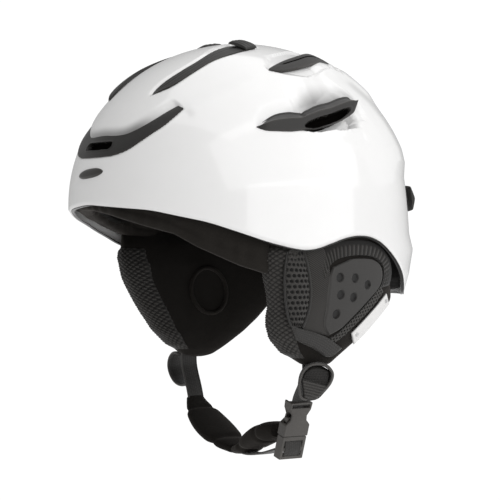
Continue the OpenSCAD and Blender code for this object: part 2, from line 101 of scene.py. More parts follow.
# the shell's lower edge with its corners eased: mean over a few degrees either way
rimTable = np.stack([np.arange(0, 180.5, 0.5), np.mean([
    np.interp(np.arange(0, 180.5, 0.5) + k, rimPoints[:, 0], rimPoints[:, 1])
    for k in np.linspace(-3.5, 3.5, 15)
], axis=0)], -1)


# 0 to 1 with level ends
def ease(x):
    c = np.clip(x, 0, 1)
    return c * c * (3 - 2 * c)


# a bump of height 1 and half width w round x = 0
def bell(x, w):
    return np.exp(-(x / w) ** 2)


# sign kept, size raised to a power
def signedPower(c, p):
    return np.sign(c) * np.abs(c) ** p


# Catmull-Rom curve through the points, at shares u from 0 to 1
def spline(points, u):
    p = np.asarray(points, float)
    n = len(p) - 1
    x = np.minimum(np.asarray(u, float) * n, n - 1e-6)
    i = np.floor(x).astype(int)
    f = (x - i)[..., None]
    a, b, c, d = p[np.maximum(i - 1, 0)], p[i], p[np.minimum(i + 1, n)], p[np.minimum(i + 2, n)]
    return b + 0.5 * f * ((c - a) + f * ((2 * a - 5 * b + 4 * c - d) + f * (3 * (b - c) + d - a)))


# shell section: a superellipse whose size falls as a circle towards the crown, with its own rear profile
def levelAt(t, z, h):
    side = np.where(z > 0, np.sqrt(np.clip(1 - (z / h) ** 2, 0, 1)), 1)
    rear = np.where(z > 44, side, lookup(rearTable, z) * np.where(h < crownH, 0.996, 1))
    return side + (rear - side) * ease((np.where(t > 180, 360 - t, t) - 112) / 38)


# point of the surface o under the outside, at angle t and height z
def atHeight(t, z, o):
    k = levelAt(t, z, crownH - o)
    sn, cs = np.sin(np.radians(t)), np.cos(np.radians(t))
    x = (halfW - o) * k * signedPower(sn, 2 / planPower)
    y = -(halfL - o) * k * signedPower(cs, 2 / planPower)
    return np.stack([x, y, z + 0 * x], -1)


# the same with s running down an arc from the crown (0) to the lower edge (1)
def skinPoint(t, s, o, edge):
    h = crownH - o
    last = np.where(edge > 0, np.degrees(np.arccos(np.clip(edge / h, -1, 1))), 90 - np.degrees(edge / h))
    a = s * last
    z = np.where(a < 90, h * np.cos(np.radians(a)), np.radians(90 - a) * h)
    return atHeight(t, z, o)


# p moved along its own direction onto the shell's outside, then o beyond it
def onSkin(p, o):
    m = (np.abs(p[..., 0]) / halfW) ** planPower + (np.abs(p[..., 1]) / halfL) ** planPower
    g = np.sqrt(m ** (2 / planPower) + (p[..., 2] / crownH) ** 2)[..., None]
    return p / g + np.asarray(o)[..., None] * p / np.linalg.norm(p, axis=-1, keepdims=True)


# outside of the ear pad at y, z, then d further out
def onPad(y, z, d):
    w, l = halfW - lookup(padUnder, z), halfL - lookup(padUnder, z)
    x = w * (1 - (np.abs(y) / l) ** planPower) ** (1 / planPower) + d
    return np.stack([x, y + 0 * x, z + 0 * x], -1)


# quads of a grid of nu by nv points, closed round either way if asked
def gridFaces(nu, nv, closeU=False, closeV=False):
    i = np.arange(nu if closeU else nu - 1)
    j = np.arange(nv if closeV else nv - 1)
    i, j = [k.ravel() for k in np.meshgrid(i, j, indexing="ij")]
    a, b = i * nv + j, i * nv + (j + 1) % nv
    c, d = ((i + 1) % nu) * nv + (j + 1) % nv, ((i + 1) % nu) * nv + j
    return np.stack([a, d, c, b], -1)


# a mesh object from points in mm; the normals of a closed piece are turned outwards
def newPiece(name, points, faces, material, uv=None, values=None, sharp=38, mirror=1, closed=True):
    points = np.asarray(points, float).reshape(-1, 3) * (mirror * mm, mm, mm)
    mesh = bpy.data.meshes.new(name)
    mesh.from_pydata(points.tolist(), [], faces.tolist() if hasattr(faces, "tolist") else faces)
    for key, value in (values or {}).items():
        layer = mesh.attributes.new(key, "FLOAT", "POINT")
        layer.data.foreach_set("value", np.asarray(value, np.float32).ravel())
    if uv is not None:
        corners = np.zeros(len(mesh.loops), int)
        mesh.loops.foreach_get("vertex_index", corners)
        layer = mesh.uv_layers.new(name="cut")
        layer.data.foreach_set("uv", np.asarray(uv, np.float32).reshape(-1, 2)[corners].ravel())
    if closed:
        work = bmesh.new()
        work.from_mesh(mesh)
        bmesh.ops.recalc_face_normals(work, faces=work.faces)
        work.to_mesh(mesh)
        work.free()
    mesh.shade_smooth()
    mesh.set_sharp_from_angle(angle=math.radians(sharp))
    mesh.materials.append(material)
    piece = bpy.data.objects.new(name, mesh)
    bpy.context.scene.collection.objects.link(piece)
    return piece


# closed solid between two grids of the same size: the top, the underside and four walls
def slabPiece(name, top, low, material, uv=None, values=None, **more):
    nu, nv = top.shape[:2]
    n = nu * nv
    face = gridFaces(nu, nv)
    edge = np.concatenate([
        np.arange(nv), np.arange(2 * nv - 1, n, nv), np.arange(n - 2, n - nv - 1, -1),
        np.arange(n - 2 * nv, 0, -nv)])
    after = np.roll(edge, -1)
    walls = np.stack([edge, after, after + n, edge + n], -1)
    faces = np.concatenate([face, face[:, ::-1] + n, walls])
    if uv is not None:
        uv = np.concatenate([np.asarray(uv).reshape(-1, 2)] * 2)
    if values:
        values = {k: np.concatenate([np.asarray(v).ravel()] * 2) for k, v in values.items()}
    points = np.concatenate([top.reshape(-1, 3), low.reshape(-1, 3)])
    return newPiece(name, points, faces, material, uv, values, **more)


# rings of points one after another, each closed, with a fan at both ends
def ringPiece(name, rings, material, uv=None, values=None, **more):
    m, n = rings.shape[:2]
    k = np.arange(n)
    fans = np.concatenate([
        np.stack([np.full(n, m * n), (k + 1) % n, k], -1),
        np.stack([np.full(n, m * n + 1), (m - 1) * n + k, (m - 1) * n + (k + 1) % n], -1)])
    faces = gridFaces(m, n, closeV=True).tolist() + fans.tolist()
    points = np.concatenate([rings.reshape(-1, 3), [rings[0].mean(0), rings[-1].mean(0)]])
    if uv is not None:
        uv = np.concatenate([np.asarray(uv).reshape(-1, 2), uv[0, :1], uv[-1, :1]])
    if values:
        values = {a: np.concatenate([np.asarray(v).ravel(), [0, 0]]) for a, v in values.items()}
    return newPiece(name, points, faces, material, uv, values, **more)


# round piping: circles of radius r carried along a path, square to its direction
def pipePiece(name, path, r, material, closed=False, n=10, **more):
    path = np.asarray(path, float)
    ahead = np.roll(path, -1, 0) - np.roll(path, 1, 0)
    if not closed:
        ahead[0], ahead[-1] = path[1] - path[0], path[-1] - path[-2]
    ahead /= np.linalg.norm(ahead, axis=1, keepdims=True)
    out = np.cross(ahead, np.cross(path * (1, 0.2, 0), ahead))
    out /= np.linalg.norm(out, axis=1, keepdims=True)
    side = np.cross(ahead, out)
    a = 2 * np.pi * np.arange(n) / n
    r = np.broadcast_to(r, len(path))[:, None, None]
    rings = path[:, None] + r * (np.cos(a)[:, None] * out[:, None] + np.sin(a)[:, None] * side[:, None])
    length = np.concatenate([[0], np.cumsum(np.linalg.norm(np.diff(path, axis=0), axis=1))])
    uv = np.stack(np.broadcast_arrays(length[:, None], (a * r[0, 0, 0])[None]), -1)
    if closed:
        return newPiece(name, rings, gridFaces(len(path), n, True, True), material, uv, **more)
    return ringPiece(name, rings, material, uv, **more)


# distance from each point to a curve through given points, with the share along it
def curveDistance(q, points, n=160):
    line = spline(points, np.linspace(0, 1, n))
    best = np.full(len(q), 1e9)
    at = np.zeros(len(q), int)
    for k in range(n):
        d = ((q - line[k]) ** 2).sum(1)
        nearer = d < best
        best[nearer], at[nearer] = d[nearer], k
    return np.sqrt(best), at / (n - 1)


# where each point lies on the strip between two curves: share along, mm above the low edge,
# mm above the high edge, width there, and distance from the strip's middle line
def stripPlace(q, low, high, n=220):
    u = np.linspace(0, 1, n)
    a, b = spline(low, u), spline(high, u)
    d, share = curveDistance(q, (a + b) / 2, n)
    k = np.round(share * (n - 1)).astype(int)
    across = b[k] - a[k]
    w = np.maximum(np.linalg.norm(across, axis=1), 0.3)
    v = ((q - a[k]) * across).sum(1) / w ** 2
    return share, v * w, (v - 1) * w, w, d


# swells a closed mesh with a short cloth run; held points stay, and no point moves further than cap mm
def swell(piece, held, cap, pressure=4):
    mesh = piece.data
    rest = np.zeros(len(mesh.vertices) * 3)
    mesh.vertices.foreach_get("co", rest)
    rest = rest.reshape(-1, 3)
    group = piece.vertex_groups.new(name="held")
    group.add(np.flatnonzero(held).tolist(), 1.0, "REPLACE")
    cloth = piece.modifiers.new("Cloth", "CLOTH")
    cloth.settings.use_pressure = True
    cloth.settings.uniform_pressure_force = pressure
    cloth.settings.vertex_group_mass = "held"
    cloth.settings.quality = 4
    cloth.settings.mass = 0.2
    cloth.settings.tension_stiffness = 12
    cloth.settings.compression_stiffness = 8
    cloth.settings.bending_stiffness = 0.4
    cloth.settings.effector_weights.gravity = 0
    cloth.point_cache.frame_end = 20
    scene = bpy.context.scene
    for frameNumber in range(1, 21):
        scene.frame_set(frameNumber)
    seen = piece.evaluated_get(bpy.context.evaluated_depsgraph_get())
    moved = np.zeros(len(rest) * 3)
    seen.data.vertices.foreach_get("co", moved)
    step = moved.reshape(-1, 3) - rest
    size = np.linalg.norm(step, axis=1, keepdims=True)
    step *= np.minimum(1, cap * mm / np.maximum(size, 1e-9))
    piece.modifiers.clear()
    piece.vertex_groups.clear()
    scene.frame_set(1)
    mesh.vertices.foreach_set("co", (rest + step).ravel())
    mesh.update()
    return piece


# a piece rides on its body and stands for CAD nodes
def place(piece, body, slot, *nodes, padded=None):
    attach(piece, body)
    if nodes:
        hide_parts(*nodes)
    return piece


# ---- materials: shared effects are groups, the shader itself stays in each material
def addNode(tree, kind, inputs=None, **settings):
    made = tree.nodes.new("ShaderNode" + kind)
    for key, value in settings.items():
        setattr(made, key, value)
    for key, value in (inputs or {}).items():
        if isinstance(value, bpy.types.NodeSocket):
            tree.links.new(value, made.inputs[key])
        else:
            made.inputs[key].default_value = value
    return made


def calc(tree, operation, a, b=0.0, c=0.0):
    return addNode(tree, "Math", {0: a, 1: b, 2: c}, operation=operation).outputs[0]


def mixColour(tree, share, a, b):
    made = addNode(tree, "Mix", data_type="RGBA")
    for slot, value in ((0, share), (6, a), (7, b)):
        if isinstance(value, bpy.types.NodeSocket):
            tree.links.new(value, made.inputs[slot])
        else:
            made.inputs[slot].default_value = value
    return made.outputs[2]


def newGroup(name, inputs, outputs):
    tree = bpy.data.node_groups.new(name, "ShaderNodeTree")
    for key, kind, value in inputs:
        socket = tree.interface.new_socket(key, in_out="INPUT", socket_type="NodeSocket" + kind)
        if value is not None:
            socket.default_value = value
    for key, kind in outputs:
        tree.interface.new_socket(key, in_out="OUTPUT", socket_type="NodeSocket" + kind)
    return tree, tree.nodes.new("NodeGroupInput").outputs, tree.nodes.new("NodeGroupOutput").inputs


# fine moulded grain: noise for the height, a slower noise for the patches of gloss
def makeGrain():
    tree, put, out = newGroup("mouldGrain", [("Vector", "Vector", None), ("Scale", "Float", 900.0)],
                              [("Height", "Float"), ("Patch", "Float")])
    fine = addNode(tree, "TexNoise", {"Vector": put["Vector"], "Scale": put["Scale"], "Detail": 3.0})
    slow = addNode(tree, "TexNoise", {"Vector": put["Vector"], "Scale": 38.0, "Detail": 4.0,
                                      "Roughness": 0.6})
    tree.links.new(fine.outputs[0], out["Height"])
    tree.links.new(slow.outputs[0], out["Patch"])
    return tree


# weave: the product of two sines gives threads that pass over and under, per mm of the cut
def makeWeave():
    tree, put, out = newGroup("wovenCloth", [("Along", "Float", 0.0), ("Across", "Float", 0.0),
                              ("Pitch Along", "Float", 1.0), ("Pitch Across", "Float", 1.0)],
                              [("Height", "Float"), ("Thread", "Float")])
    u = calc(tree, "SINE", calc(tree, "MULTIPLY", calc(tree, "DIVIDE", put["Along"], put["Pitch Along"]),
                                math.pi))
    v = calc(tree, "SINE", calc(tree, "MULTIPLY", calc(tree, "DIVIDE", put["Across"], put["Pitch Across"]),
                                math.pi))
    over = calc(tree, "MULTIPLY", u, v)
    tree.links.new(calc(tree, "MULTIPLY_ADD", over, 0.5, 0.5), out["Height"])
    tree.links.new(calc(tree, "ABSOLUTE", over), out["Thread"])
    return tree


# soft lint and dust: a few bright specks picked out of a fine noise
def makeLint():
    tree, put, out = newGroup("lintSpecks", [("Vector", "Vector", None), ("Scale", "Float", 600.0),
                              ("Limit", "Float", 0.7)], [("Mask", "Float")])
    fine = addNode(tree, "TexNoise", {"Vector": put["Vector"], "Scale": put["Scale"], "Detail": 2.0})
    over = calc(tree, "SUBTRACT", fine.outputs[0], put["Limit"])
    tree.links.new(addNode(tree, "Math", {0: over, 1: 9.0}, operation="MULTIPLY", use_clamp=True).outputs[0],
                   out["Mask"])
    return tree


# rubbed edges, and the painted highlight along the side vent's ridge: a border value on the mesh broken up by
# noise
def makeEdgeWearAndHighlight():
    tree, put, out = newGroup("rubbedEdgeAndHighlight", [("Border", "Float", 0.0), ("Vector", "Vector", None),
                              ("Reach", "Float", 1.0)], [("Mask", "Float")])
    rough = addNode(tree, "TexNoise", {"Vector": put["Vector"], "Scale": 260.0, "Detail": 5.0})
    tree.links.new(calc(tree, "MULTIPLY", calc(tree, "MULTIPLY", put["Border"], put["Reach"]),
                        rough.outputs[0]),
                   out["Mask"])
    return tree


grainGroup, weaveGroup, lintGroup, edgeWearAndHighlightGroup = makeGrain(), makeWeave(), makeLint(), makeEdgeWearAndHighlight()


def useGroup(tree, group, **inputs):
    made = addNode(tree, "Group")
    made.node_tree = group
    for key, value in inputs.items():
        socket = made.inputs[key.replace("_", " ")]
        if isinstance(value, bpy.types.NodeSocket):
            tree.links.new(value, socket)
        else:
            socket.default_value = value
    return made.outputs


# a new material with its shader; the numbers that are the same all over go straight on the shader
def newMaterial(name, **plain):
    material = bpy.data.materials.new(name)
    material.use_nodes = True
    tree = material.node_tree
    shader = tree.nodes["Principled BSDF"]
    for key, value in plain.items():
        shader.inputs[key.replace("_", " ")].default_value = value
    coords = addNode(tree, "TexCoord").outputs["Object"]
    return material, tree, shader, coords


def addBump(tree, shader, height, strength, distance):
    bump = addNode(tree, "Bump", {"Height": height, "Strength": strength, "Distance": distance})
    tree.links.new(bump.outputs[0], shader.inputs["Normal"])


def cutAxes(tree):
    parts = addNode(tree, "SeparateXYZ", {0: addNode(tree, "UVMap", uv_map="cut").outputs[0]})
    return parts.outputs[0], parts.outputs[1]


def readValue(tree, name):
    return addNode(tree, "Attribute", attribute_name=name).outputs["Fac"]


def grey(v, warm=0.0):
    return (v * (1 + warm), v, v * (1 - warm), 1)


# ventShadeTone is the colour of the painted shade above the airways
shellFinish = {"tone": 0.88, "shadeTone": 0.84, "gloss": 0.16, "peel": 0.012, "edge": 0.55, "ventShadeTone": 0.02}


def makeShellWhite():
    f = shellFinish
    made, tree, shader, coords = newMaterial("glossWhite", Coat_Weight=1.0, Coat_Roughness=0.03, IOR=1.5)
    grain = useGroup(tree, grainGroup, Vector=coords, Scale=330.0)
    lint = useGroup(tree, lintGroup, Vector=coords, Scale=900.0, Limit=0.72)
    wear = useGroup(tree, edgeWearAndHighlightGroup, Vector=coords, Border=readValue(tree, "border"), Reach=0.5)
    tone = mixColour(tree, grain["Patch"], grey(f["tone"], 0.004), grey(f["shadeTone"], 0.006))
    tone = mixColour(tree, calc(tree, "MULTIPLY", lint["Mask"], 0.06), tone, grey(0.5))
    tone = mixColour(tree, wear["Mask"], tone, grey(f["edge"], 0.01))
    # painted shade above the front and side airways, read from the fade attribute
    tone = mixColour(tree, readValue(tree, "fade"), tone, grey(f["ventShadeTone"], 0.08))
    tree.links.new(tone, shader.inputs["Base Color"])
    tree.links.new(calc(tree, "MULTIPLY_ADD", grain["Patch"], 0.1, f["gloss"]), shader.inputs["Roughness"])
    addBump(tree, shader, grain["Height"], f["peel"], 0.0002)
    return made


plasticFinish = {"tone": 0.011, "warm": 0.08, "patch": 0.019, "rough": 0.42, "grain": 0.22}


def makeBlackPlastic(name="mouldedBlack", lighter=1.0, rough=None, grainScale=2200.0):
    f = plasticFinish
    made, tree, shader, coords = newMaterial(name, IOR=1.5, Specular_IOR_Level=0.4)
    grain = useGroup(tree, grainGroup, Vector=coords, Scale=grainScale)
    lint = useGroup(tree, lintGroup, Vector=coords, Scale=1300.0, Limit=0.66)
    wear = useGroup(tree, edgeWearAndHighlightGroup, Vector=coords, Border=readValue(tree, "border"), Reach=0.5)
    tone = mixColour(tree, grain["Patch"], grey(f["tone"] * lighter, f["warm"]),
                     grey(f["patch"] * lighter, f["warm"]))
    tone = mixColour(tree, calc(tree, "MULTIPLY", lint["Mask"], 0.12), tone, grey(0.25, 0.05))
    # edge wear, and on the side vents the painted highlight along the ridge
    tone = mixColour(tree, wear["Mask"], tone, grey(0.1, 0.08))
    # painted shade in slots and grooves: the deep attribute mixes the colour towards near-black
    deep = readValue(tree, "deep")
    tone = mixColour(tree, deep, tone, grey(0.002, 0.2))
    tree.links.new(tone, shader.inputs["Base Color"])
    tree.links.new(calc(tree, "MULTIPLY_ADD", grain["Patch"], 0.2, (rough or f["rough"]) - 0.1),
                   shader.inputs["Roughness"])
    addBump(tree, shader, grain["Height"], f["grain"], 0.0001)
    return made


foamFinish = {"tone": 0.005, "bead": 300.0, "depth": 0.5}


def makeFoam():
    f = foamFinish
    made, tree, shader, coords = newMaterial("beadFoam", Specular_IOR_Level=0.12)
    beads = addNode(tree, "TexVoronoi", {"Vector": coords, "Scale": f["bead"]})
    grain = useGroup(tree, grainGroup, Vector=coords, Scale=700.0)
    tone = mixColour(tree, beads.outputs["Distance"], grey(f["tone"] * 1.6, 0.1), grey(f["tone"] * 0.5, 0.1))
    tree.links.new(tone, shader.inputs["Base Color"])
    tree.links.new(calc(tree, "MULTIPLY_ADD", grain["Patch"], 0.25, 0.55), shader.inputs["Roughness"])
    addBump(tree, shader, calc(tree, "SUBTRACT", 1.0, beads.outputs["Distance"]), f["depth"], 0.0006)
    return made


velourFinish = {"tone": 0.0042, "light": 0.0095, "pile": 1400.0}


def makeVelour(name="brushedVelour", lighter=1.0):
    f = velourFinish
    made, tree, shader, coords = newMaterial(
        name, Roughness=0.9, Specular_IOR_Level=0.15, Sheen_Weight=0.12, Sheen_Roughness=0.4,
        Sheen_Tint=(0.75, 0.68, 0.64, 1))
    pile = useGroup(tree, grainGroup, Vector=coords, Scale=f["pile"])
    lint = useGroup(tree, lintGroup, Vector=coords, Scale=2600.0, Limit=0.68)
    stroke = addNode(tree, "TexNoise", {"Vector": coords, "Scale": 60.0, "Detail": 3.0, "Distortion": 1.2})
    tone = mixColour(tree, stroke.outputs[0], grey(f["tone"] * lighter, 0.14),
                     grey(f["light"] * lighter, 0.12))
    tone = mixColour(tree, pile["Height"], tone, grey(f["light"] * 1.3 * lighter, 0.15))
    tone = mixColour(tree, calc(tree, "MULTIPLY", lint["Mask"], 0.1), tone, grey(0.12, 0.05))
    tree.links.new(tone, shader.inputs["Base Color"])
    height = calc(tree, "ADD", pile["Height"], calc(tree, "MULTIPLY", stroke.outputs[0], 0.8))
    addBump(tree, shader, height, 0.5, 0.0005)
    return made


meshFinish = {"tone": 0.034, "light": 0.075, "yarn": 0.55}


# spacer mesh: yarn loops per mm of the cut, the holes themselves are dents in the piece
def makeSpacerMesh(name="spacerMesh", lighter=1.0):
    f = meshFinish
    made, tree, shader, coords = newMaterial(
        name, Roughness=0.7, Specular_IOR_Level=0.3, Sheen_Weight=0.12, Sheen_Roughness=0.5)
    u, v = cutAxes(tree)
    yarn = useGroup(tree, weaveGroup, Along=u, Across=v, Pitch_Along=f["yarn"], Pitch_Across=f["yarn"] * 0.8)
    grain = useGroup(tree, grainGroup, Vector=coords, Scale=900.0)
    tone = mixColour(tree, yarn["Thread"], grey(f["tone"] * 0.6 * lighter, 0.08),
                     grey(f["light"] * lighter, 0.06))
    tone = mixColour(tree, grain["Patch"], tone, grey(f["tone"] * lighter, 0.08))
    # painted shade in the holes: the hole attribute mixes the colour towards near-black
    tone = mixColour(tree, readValue(tree, "hole"), tone, grey(0.0025, 0.1))
    tree.links.new(tone, shader.inputs["Base Color"])
    addBump(tree, shader, calc(tree, "ADD", yarn["Thread"], grain["Height"]), 0.4, 0.0003)
    return made


ribFinish = {"tone": 0.009, "light": 0.055, "pitch": 0.5}


# ribbed knit: the ribs' shape is in the piece, the yarn across them is bump
def makeRibKnit():
    f = ribFinish
    made, tree, shader, coords = newMaterial(
        "ribbedKnit", Roughness=0.75, Specular_IOR_Level=0.3, Sheen_Weight=0.12, Sheen_Roughness=0.5)
    u, v = cutAxes(tree)
    yarn = useGroup(tree, weaveGroup, Along=u, Across=v, Pitch_Along=f["pitch"], Pitch_Across=f["pitch"])
    grain = useGroup(tree, grainGroup, Vector=coords, Scale=1200.0)
    # painted highlight on the rib crests and painted shade in the troughs, from the crest attribute
    tone = mixColour(tree, readValue(tree, "crest"), grey(f["tone"] * 0.35, 0.12), grey(f["light"], 0.08))
    tone = mixColour(tree, calc(tree, "MULTIPLY", yarn["Thread"], 0.45), tone, grey(f["tone"] * 0.6, 0.1))
    tone = mixColour(tree, calc(tree, "MULTIPLY", grain["Patch"], 0.4), tone, grey(f["tone"], 0.1))
    tree.links.new(tone, shader.inputs["Base Color"])
    addBump(tree, shader, calc(tree, "ADD", yarn["Height"], grain["Height"]), 0.35, 0.0002)
    return made


webFinish = {"tone": 0.016, "light": 0.034, "pitch": 1.1, "edge": 0.07}


# webbing: herringbone threads, with a paler selvedge along both edges
def makeWebbing():
    f = webFinish
    made, tree, shader, coords = newMaterial(
        "wovenWebbing", Roughness=0.55, Specular_IOR_Level=0.4, Sheen_Weight=0.15, Sheen_Roughness=0.4)
    u, v = cutAxes(tree)
    lean = calc(tree, "ADD", u, calc(tree, "ABSOLUTE", v))
    threads = useGroup(tree, weaveGroup, Along=lean, Across=v, Pitch_Along=f["pitch"],
                       Pitch_Across=f["pitch"] * 1.7)
    grain = useGroup(tree, grainGroup, Vector=coords, Scale=1500.0)
    tone = mixColour(tree, threads["Thread"], grey(f["tone"] * 0.55, 0.1), grey(f["light"], 0.07))
    tone = mixColour(tree, calc(tree, "MULTIPLY", grain["Patch"], 0.4), tone, grey(f["tone"], 0.1))
    tone = mixColour(tree, readValue(tree, "border"), tone, grey(f["edge"], 0.06))
    tree.links.new(tone, shader.inputs["Base Color"])
    addBump(tree, shader, calc(tree, "ADD", threads["Height"], grain["Height"]), 0.5, 0.0003)
    return made


coverFinish = {"tone": 0.021, "light": 0.029, "rough": 0.55}


def makeCoverRubber():
    f = coverFinish
    made, tree, shader, coords = newMaterial("coverRubber", Specular_IOR_Level=0.4, Sheen_Weight=0.06)
    grain = useGroup(tree, grainGroup, Vector=coords, Scale=2600.0)
    lint = useGroup(tree, lintGroup, Vector=coords, Scale=1900.0, Limit=0.66)
    wear = useGroup(tree, edgeWearAndHighlightGroup, Vector=coords, Border=readValue(tree, "border"), Reach=0.6)
    tone = mixColour(tree, grain["Patch"], grey(f["tone"], 0.07), grey(f["light"], 0.07))
    tone = mixColour(tree, calc(tree, "MULTIPLY", lint["Mask"], 0.1), tone, grey(0.2))
    tone = mixColour(tree, wear["Mask"], tone, grey(0.09, 0.05))
    # painted shade in the holes: the hole attribute mixes the colour towards near-black
    tone = mixColour(tree, readValue(tree, "hole"), tone, grey(0.005, 0.1))
    tree.links.new(tone, shader.inputs["Base Color"])
    tree.links.new(calc(tree, "MULTIPLY_ADD", grain["Patch"], 0.2, f["rough"] - 0.1),
                   shader.inputs["Roughness"])
    addBump(tree, shader, grain["Height"], 0.25, 0.0001)
    return made


def makePlateWhite():
    made, tree, shader, coords = newMaterial("satinPlate", Coat_Weight=0.3, Coat_Roughness=0.2)
    grain = useGroup(tree, grainGroup, Vector=coords, Scale=1800.0)
    wear = useGroup(tree, edgeWearAndHighlightGroup, Vector=coords, Border=readValue(tree, "border"), Reach=0.5)
    tone = mixColour(tree, grain["Patch"], grey(0.8, 0.01), grey(0.66, 0.01))
    tone = mixColour(tree, wear["Mask"], tone, grey(0.35, 0.04))
    tree.links.new(tone, shader.inputs["Base Color"])
    tree.links.new(calc(tree, "MULTIPLY_ADD", grain["Patch"], 0.2, 0.3), shader.inputs["Roughness"])
    addBump(tree, shader, grain["Height"], 0.12, 0.0001)
    return made


def makeSteel():
    made, tree, shader, coords = newMaterial("brushedSteel", Metallic=1.0)
    stretched = addNode(tree, "Mapping", {"Vector": coords, "Scale": (30.0, 900.0, 900.0)})
    brushed = addNode(tree, "TexNoise", {"Vector": stretched.outputs[0], "Scale": 2.0, "Detail": 4.0})
    tree.links.new(mixColour(tree, brushed.outputs[0], grey(0.5), grey(0.72)), shader.inputs["Base Color"])
    tree.links.new(calc(tree, "MULTIPLY_ADD", brushed.outputs[0], 0.25, 0.2), shader.inputs["Roughness"])
    addBump(tree, shader, brushed.outputs[0], 0.1, 0.0001)
    return made


glossWhite = makeShellWhite()
mouldedBlack = makeBlackPlastic()
buckleBlack = makeBlackPlastic("buckleBlack", lighter=4.2, rough=0.38)
# near-black, dull copy of the moulded black: painted shade for faces deep in slots and grooves
slotShadeBlack = makeBlackPlastic("slotShadeBlack", lighter=0.2, rough=0.9)
slotShadeBlack.node_tree.nodes["Principled BSDF"].inputs["Specular IOR Level"].default_value = 0.03
badgeGrey = makeBlackPlastic("badgeGrey", lighter=2.2, rough=0.3)
gasketBlack = makeBlackPlastic("gasketBlack", lighter=0.6, rough=0.22)
beadFoam = makeFoam()
brushedVelour = makeVelour()
liningVelour = makeVelour("liningVelour", lighter=1.35)
spacerMesh = makeSpacerMesh()
innerMesh = makeSpacerMesh("innerMesh", lighter=0.3)
ribbedKnit = makeRibKnit()
wovenWebbing = makeWebbing()
coverRubber = makeCoverRubber()
satinPlate = makePlateWhite()
brushedSteel = makeSteel()
print("materials made")

# guide points of the airways on the wearer's left, mirrored for the right
frontLow = [(0, -134, 33), (12, -133, 33), (23, -131, 34), (33, -126, 37), (41, -121, 43), (47, -114, 49),
            (52, -106, 55), (55, -100, 61), (57, -94, 67)]
frontHigh = [(0, -128, 48.5), (11, -127.5, 48), (19, -126, 48), (26, -123.5, 49), (32, -120, 51.5),
             (38, -115, 55.5), (43, -109, 60), (48, -102, 66), (52, -95, 71)]
crownOut = [(28, -104, 77), (38, -89, 85), (40.5, -73, 95), (39.5, -57, 103.5), (38.5, -40, 109.5),
            (34, -14, 117.5)]
crownIn = [(27, -103, 77), (28.5, -92, 86), (31, -76, 97), (30, -60, 106), (22, -38, 116), (11, -12, 122)]
archLow = [(64, -24, 97), (66, -15, 96), (64, 1, 99), (58, 18, 103), (46, 39, 106), (38, 56, 106),
           (44, 67, 104)]
archHigh = [(63, -23, 98), (57, -8, 104), (47, 14, 110), (30, 39, 114), (34, 48, 113), (38, 56, 111),
            (44, 67, 104)]
sideLow = [(89, -53, 53), (92, -47, 51), (94, -40, 51), (96, -30, 51), (97, -20, 52), (97, -13, 53),
           (97, -5, 54),
           (96, 7, 57), (93, 19, 60), (90, 29, 64), (86, 38, 68), (78, 48, 76)]
sideHigh = [(89, -53, 54), (89, -45, 59), (89, -36, 63), (90, -25, 65), (91, -16, 65), (90, -7, 68),
            (88, 2, 71),
            (86, 15, 74), (81, 29, 78), (77, 40, 80), (76, 46, 79), (76, 49, 77)]
rearRidge = [(60, 20, 103), (48, 48, 105), (45, 68, 102), (48, 84, 92)]
shoulderLine = [(58, -94, 65), (65, -77, 73), (69, -55, 83), (67, -26, 94)]

shellShape = {"around": 400, "fineRows": 136, "coarseRows": 34, "innerRows": 62, "thick": 2.2,
              "frontDepth": 2.4,
              "frontRoll": 9, "sideDepth": 3.2, "crownDepth": 0.9, "ridge": 4, "shoulder": 0.9}
frontVent = {"lip": 0.5, "fall": 2.6, "slotHalf": 17, "slotLow": 38.4, "slotHigh": 44.6, "slotDepth": 4.5}
# reach and strength of the painted shade above the front and side airways
ventShadeFade = {"front": 0.95, "frontReach": 10, "side": 0.9, "sideReach": 21, "sideAt": 0.6}
sideVent = {"ridge": 3.4, "ridgeFront": 0.5, "ridgeRear": 0.66, "lip": 0.6, "highFall": 1.6, "slotDepth": 6}


# distance inside the rounded slot at the middle of the front airway
def frontSlot(x, z):
    f = frontVent
    middle, half = (f["slotLow"] + f["slotHigh"]) / 2, (f["slotHigh"] - f["slotLow"]) / 2
    ends = np.maximum(np.abs(x) - (f["slotHalf"] - half), 0)
    return half - np.sqrt(ends ** 2 + (z - middle) ** 2)


# 1 in the middle of the side vent's slot, 0 on its edge: a superellipse that climbs with the trim
def sideSlot(u, v):
    along = (u - 0.62) / 0.22
    across = (v - 0.22 - 0.05 * along) / 0.2
    return 1 - (np.abs(along) ** 2.6 + np.abs(across) ** 2.4) ** 0.4


